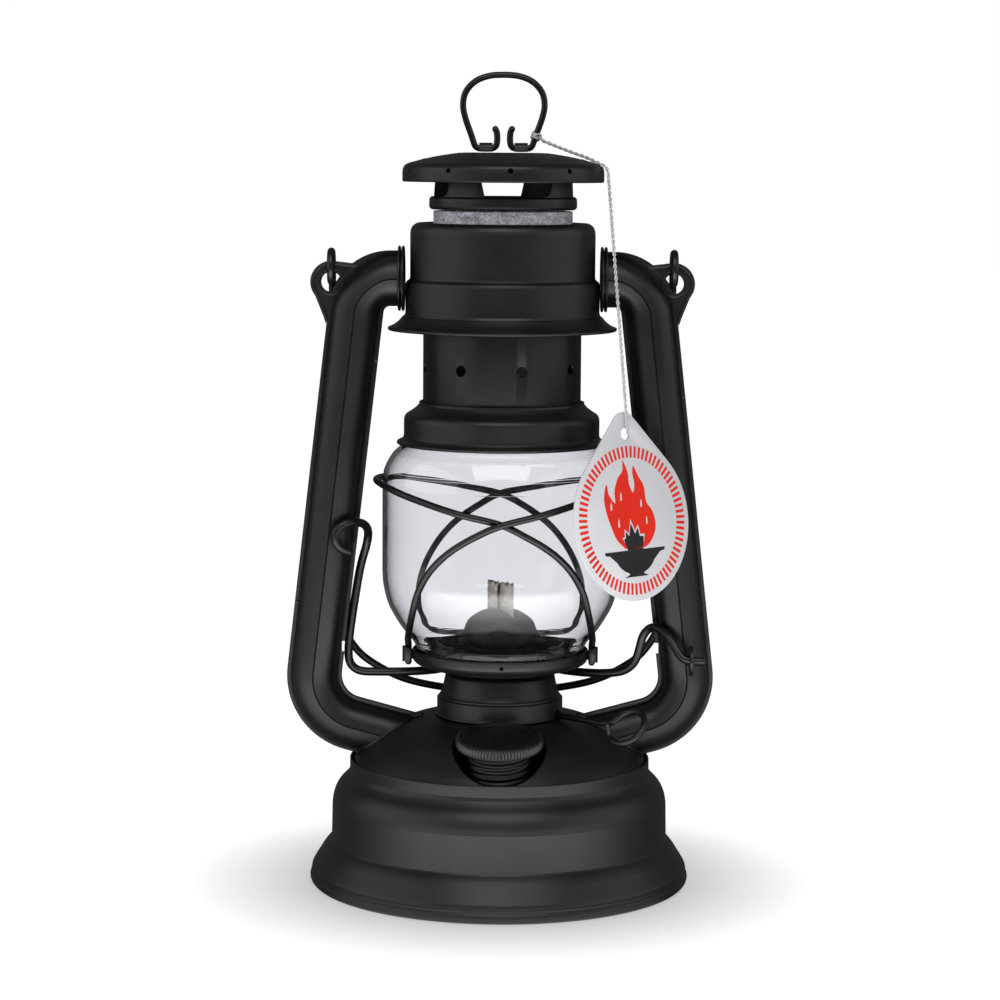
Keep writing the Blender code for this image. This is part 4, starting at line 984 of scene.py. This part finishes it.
def make_tag():
    tip_r = 6.0
    tip = TAG_TIP - tip_r
    spread = math.degrees(math.acos((TAG_R - tip_r) / tip))
    outline = arc(0, 0, TAG_R, 90 + spread, 450 - spread, 72) + arc(0, tip, tip_r, 90 - spread, 90 + spread, 16)
    card = prism(outline, CARD, [circle(2.0, 32, 0, TAG_HOLE)[::-1]])
    tag = piece("swing_tag", moved(card, TAG), ["hang_tag"], "chimney", "card", bevel=0.12, sharp=40)
    ink = TAG @ at(0, 0, 0.31)
    ticks = [moved(box((1.0, 3.9, INK), (0, 23.4, 0)), ink @ spin(4.8 * i)) for i in range(75)]
    flame = [(-4.5, -9.4), (-8.2, -6.0), (-10.6, -1.0), (-12.2, 4.0), (-12.6, 8.6), (-11.0, 13.0), (-10.2, 9.4),
             (-7.6, 6.4), (-7.4, 10.4), (-5.4, 14.6), (-2.8, 17.2), (-2.4, 20.6), (-0.4, 16.4), (-0.2, 12.6),
             (1.4, 9.4), (2.4, 12.4), (1.9, 16.0), (2.6, 18.4), (4.6, 14.8), (6.8, 11.4), (7.4, 6.0), (10.0, 2.4),
             (11.0, -2.4), (9.2, -6.4), (5.0, -9.4)]
    flame = [(p.x, p.y) for p in smooth([Vector(p) for p in flame + flame[:1]], 0.5)][:-1]
    heart = [(-3.4, -9.2), (-5.6, -5.6), (-4.4, -5.4), (-4.2, -2.6), (-2.4, -4.4), (-1.0, 0.6), (0.8, -3.6),
             (2.4, -1.4), (3.2, -4.8), (5.4, -5.0), (4.0, -9.2)]
    streaks = [soft([(x - 0.4, y - 1.6), (x + 0.5, y - 1.0), (x + 0.3, y + 1.8), (x - 0.3, y + 0.4)], 0.15) for x,
               y in ((-9.6, 5.4), (-4.6, 8.4), (4.8, 5.6), (-6.6, -0.6), (6.8, -0.4))]
    red = joined(*ticks, moved(prism(flame, INK, [heart[::-1], *streaks]), ink))
    piece("tag_print_red", red, body="chimney", look="card", ink=RED_INK, sharp=30)
    flare = [(-3.4, -10.0), (-4.9, -6.0), (-4.0, -6.0), (-3.8, -3.6), (-2.2, -5.2), (-1.0, -0.8), (0.7, -4.6),
             (2.2, -2.6), (2.9, -5.6), (4.7, -5.6), (4.0, -10.0)]
    bowl = [(-14.6, -9.9), (14.6, -9.9), (14.2, -11.4), (12.2, -11.8)] + arc(0, -11.8, 9.6, -22, -68,
        8) + [(3.4, -21.4), (5.8, -22.6), (-5.8, -22.6), (-3.4, -21.4)]
    bowl += arc(0, -11.8, 9.6, -112, -158, 8) + [(-12.2, -11.8), (-14.2, -11.4)]
    black = [moved(prism(line, INK), ink) for line in (flare, [(x, y * 0.72 - 2.9) for x, y in bowl])]
    piece("tag_print_black", joined(*black), body="chimney", look="card", ink=BLACK_INK, sharp=30)
    return tag


def make_knot():
    """The string's loop round the ring's right foot, with its small knot."""
    foot, along = Vector((11.1, 0, 261.5)), Vector((0.36, 0, 0.93)).normalized()
    turn = facing(along)
    loops = []
    for k in (-1.5, -0.5, 0.5, 1.5):
        middle = foot + along * 0.62 * k
        loops.append(sweep([middle + (turn @ Vector((1.46 * cos(a), 1.46 * sin(a), 0.3 * sin(a + k))))
                            for a in (tau * i / 28 for i in range(28))], 0.31, 10, closed=True))
    tie = [Vector((12.3, -1.0, 261.9)), Vector((12.7, -1.3, 261.2)), Vector((13.1, -1.45, 260.5)),
           Vector(CORD_EXIT)]
    bow = [Vector((12.0 + 0.9 * cos(a), -1.3 - 0.5 * sin(a), 261.4 + 0.8 * sin(a)))
           for a in (tau * i / 20 for i in range(20))]
    piece("string_loops", joined(*loops), body="cap_ring", look="string", sharp=70)
    piece("string_knot", joined(sweep(smooth(tie, 0.3), 0.5, 10), sweep(bow, 0.4, 10, closed=True)),
          body="chimney", look="string", sharp=70)


# ---------------------------------------------------------------- floor, light, world


LEFT_WATTS, RIGHT_WATTS, FRONT_WATTS, SURROUND = 4.2, 3.4, 6.5, 0.10
FLOOR_NEAR, FLOOR_FAR = 0.50, 0.99  # the floor's own glow as it is seen beside the lantern and far from it; the dimmer glow beside the lantern is a painted contact shadow round its foot
FLOOR_FRONT = 4.6  # the glow of a patch of floor in front, seen only in reflections and bounced light: painted light that the tank's front mirrors


def seen_directly(tree):
    """1 for what is seen straight or through the glass, 0 for what is only mirrored or lights something."""
    rays = tree.nodes.new("ShaderNodeLightPath")
    scattered = add(tree, "Math", {0: rays.outputs["Diffuse Depth"], 1: rays.outputs["Glossy Depth"]},
                    operation="ADD")
    direct = add(tree, "Math", {0: scattered.outputs[0], 1: 0.5}, operation="LESS_THAN")
    through = add(tree, "Math", {0: rays.outputs["Is Transmission Ray"], 1: direct.outputs[0]},
                  operation="MULTIPLY")
    return add(tree, "Math", {0: rays.outputs["Is Camera Ray"], 1: through.outputs[0]},
               operation="MAXIMUM").outputs[0]


def make_stage():
    mesh = bpy.data.meshes.new("floor")
    shape = bmesh.new()
    bmesh.ops.create_grid(shape, x_segments=8, y_segments=8, size=6.0)
    shape.to_mesh(mesh)
    shape.free()
    floor = placed("floor", mesh)
    made, tree, shader = shader_tree("pale_floor")
    where = place_of(tree)
    slow = grain(tree, where, 3.0, 2.0)
    tree.links.new(ramp(tree, slow, [(0.3, 0.22), (0.7, 0.23)]), shader.inputs["Base Color"])
    shader.inputs["Roughness"].default_value = 0.5
    shader.inputs["Emission Color"].default_value = (1, 1, 1, 1)
    away = add(tree, "VectorMath", {0: where}, operation="LENGTH").outputs["Value"]
    # the floor's glow rises from FLOOR_NEAR at the foot to FLOOR_FAR further out: a painted contact shadow round the
    # lantern
    glow_with_painted_shadow = add(tree, "MapRange", {"Value": away, "From Min": 0.066, "From Max": 0.118, "To Min": FLOOR_NEAR,
                                  "To Max": FLOOR_FAR})
    # a patch of floor in front glows only for mirrored and bounced rays: painted light for the tank's front to mirror
    depth = add(tree, "SeparateXYZ", {"Vector": where}).outputs["Y"]
    ahead = add(tree, "MapRange", {"Value": depth, "From Min": -0.03, "From Max": -0.22, "To Min": 0.0,
                                   "To Max": FLOOR_FRONT})
    fade = add(tree, "MapRange", {"Value": away, "From Min": 0.26, "From Max": 0.48, "To Min": 1.0,
                                  "To Max": 0.0})
    patch = add(tree, "Math", {0: ahead.outputs["Result"], 1: fade.outputs["Result"]}, operation="MULTIPLY")
    strength = add(tree, "Mix", {"Factor": seen_directly(tree), "A": patch.outputs[0],
                                 "B": glow_with_painted_shadow.outputs["Result"]})
    tree.links.new(strength.outputs["Result"], shader.inputs["Emission Strength"])
    mesh.materials.append(made)

    world = bpy.data.worlds.new("studio")
    bpy.context.scene.world = world
    world.use_nodes = True
    tree = world.node_tree
    tree.nodes.clear()
    dim = add(tree, "Background", {"Color": (1, 1, 1, 1), "Strength": SURROUND})
    bright = add(tree, "Background", {"Color": (1, 1, 1, 1), "Strength": 1.0})
    blend = add(tree, "MixShader", {0: seen_directly(tree), 1: dim.outputs[0], 2: bright.outputs[0]})
    out = tree.nodes.new("ShaderNodeOutputWorld")
    tree.links.new(blend.outputs[0], out.inputs["Surface"])

    def softbox(name, place, target, size, watts):
        data = bpy.data.lights.new(name, "AREA")
        data.shape, data.size, data.size_y, data.energy = "RECTANGLE", size[0], size[1], watts
        lamp = placed(name, data)
        lamp.matrix_world = Matrix.Translation(place) @ facing(Vector(place) - Vector(target))

    softbox("left_softbox", (-1.1, -0.3, 0.56), (0, 0, 0.36), (1.5, 1.0), LEFT_WATTS)
    softbox("right_softbox", (1.1, -0.3, 0.56), (0, 0, 0.36), (1.5, 1.0), RIGHT_WATTS)
    softbox("front_softbox", (0, -0.85, 1.1), (0, 0, 0.05), (1.1, 0.7), FRONT_WATTS)
    bpy.context.scene.view_settings.view_transform = "Standard"


look_through_camera()
string, route, string_length = make_string()
tag = make_tag()
make_tank()
make_filler()
make_burner()
make_tubes()
make_hood()
make_chimney()
make_globe()
make_bail()
make_knot()
for node, slot in (("tank_divider", "black_steel"), ("burner_ring", "black_steel"),
                   ("burner_plate", "black_steel"), ("wick_wheel_1", "brass"), ("wick_wheel_2", "brass")):
    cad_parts[node].data.materials.clear()
    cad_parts[node].data.materials.append(LOOKS[slot])
make_stage()
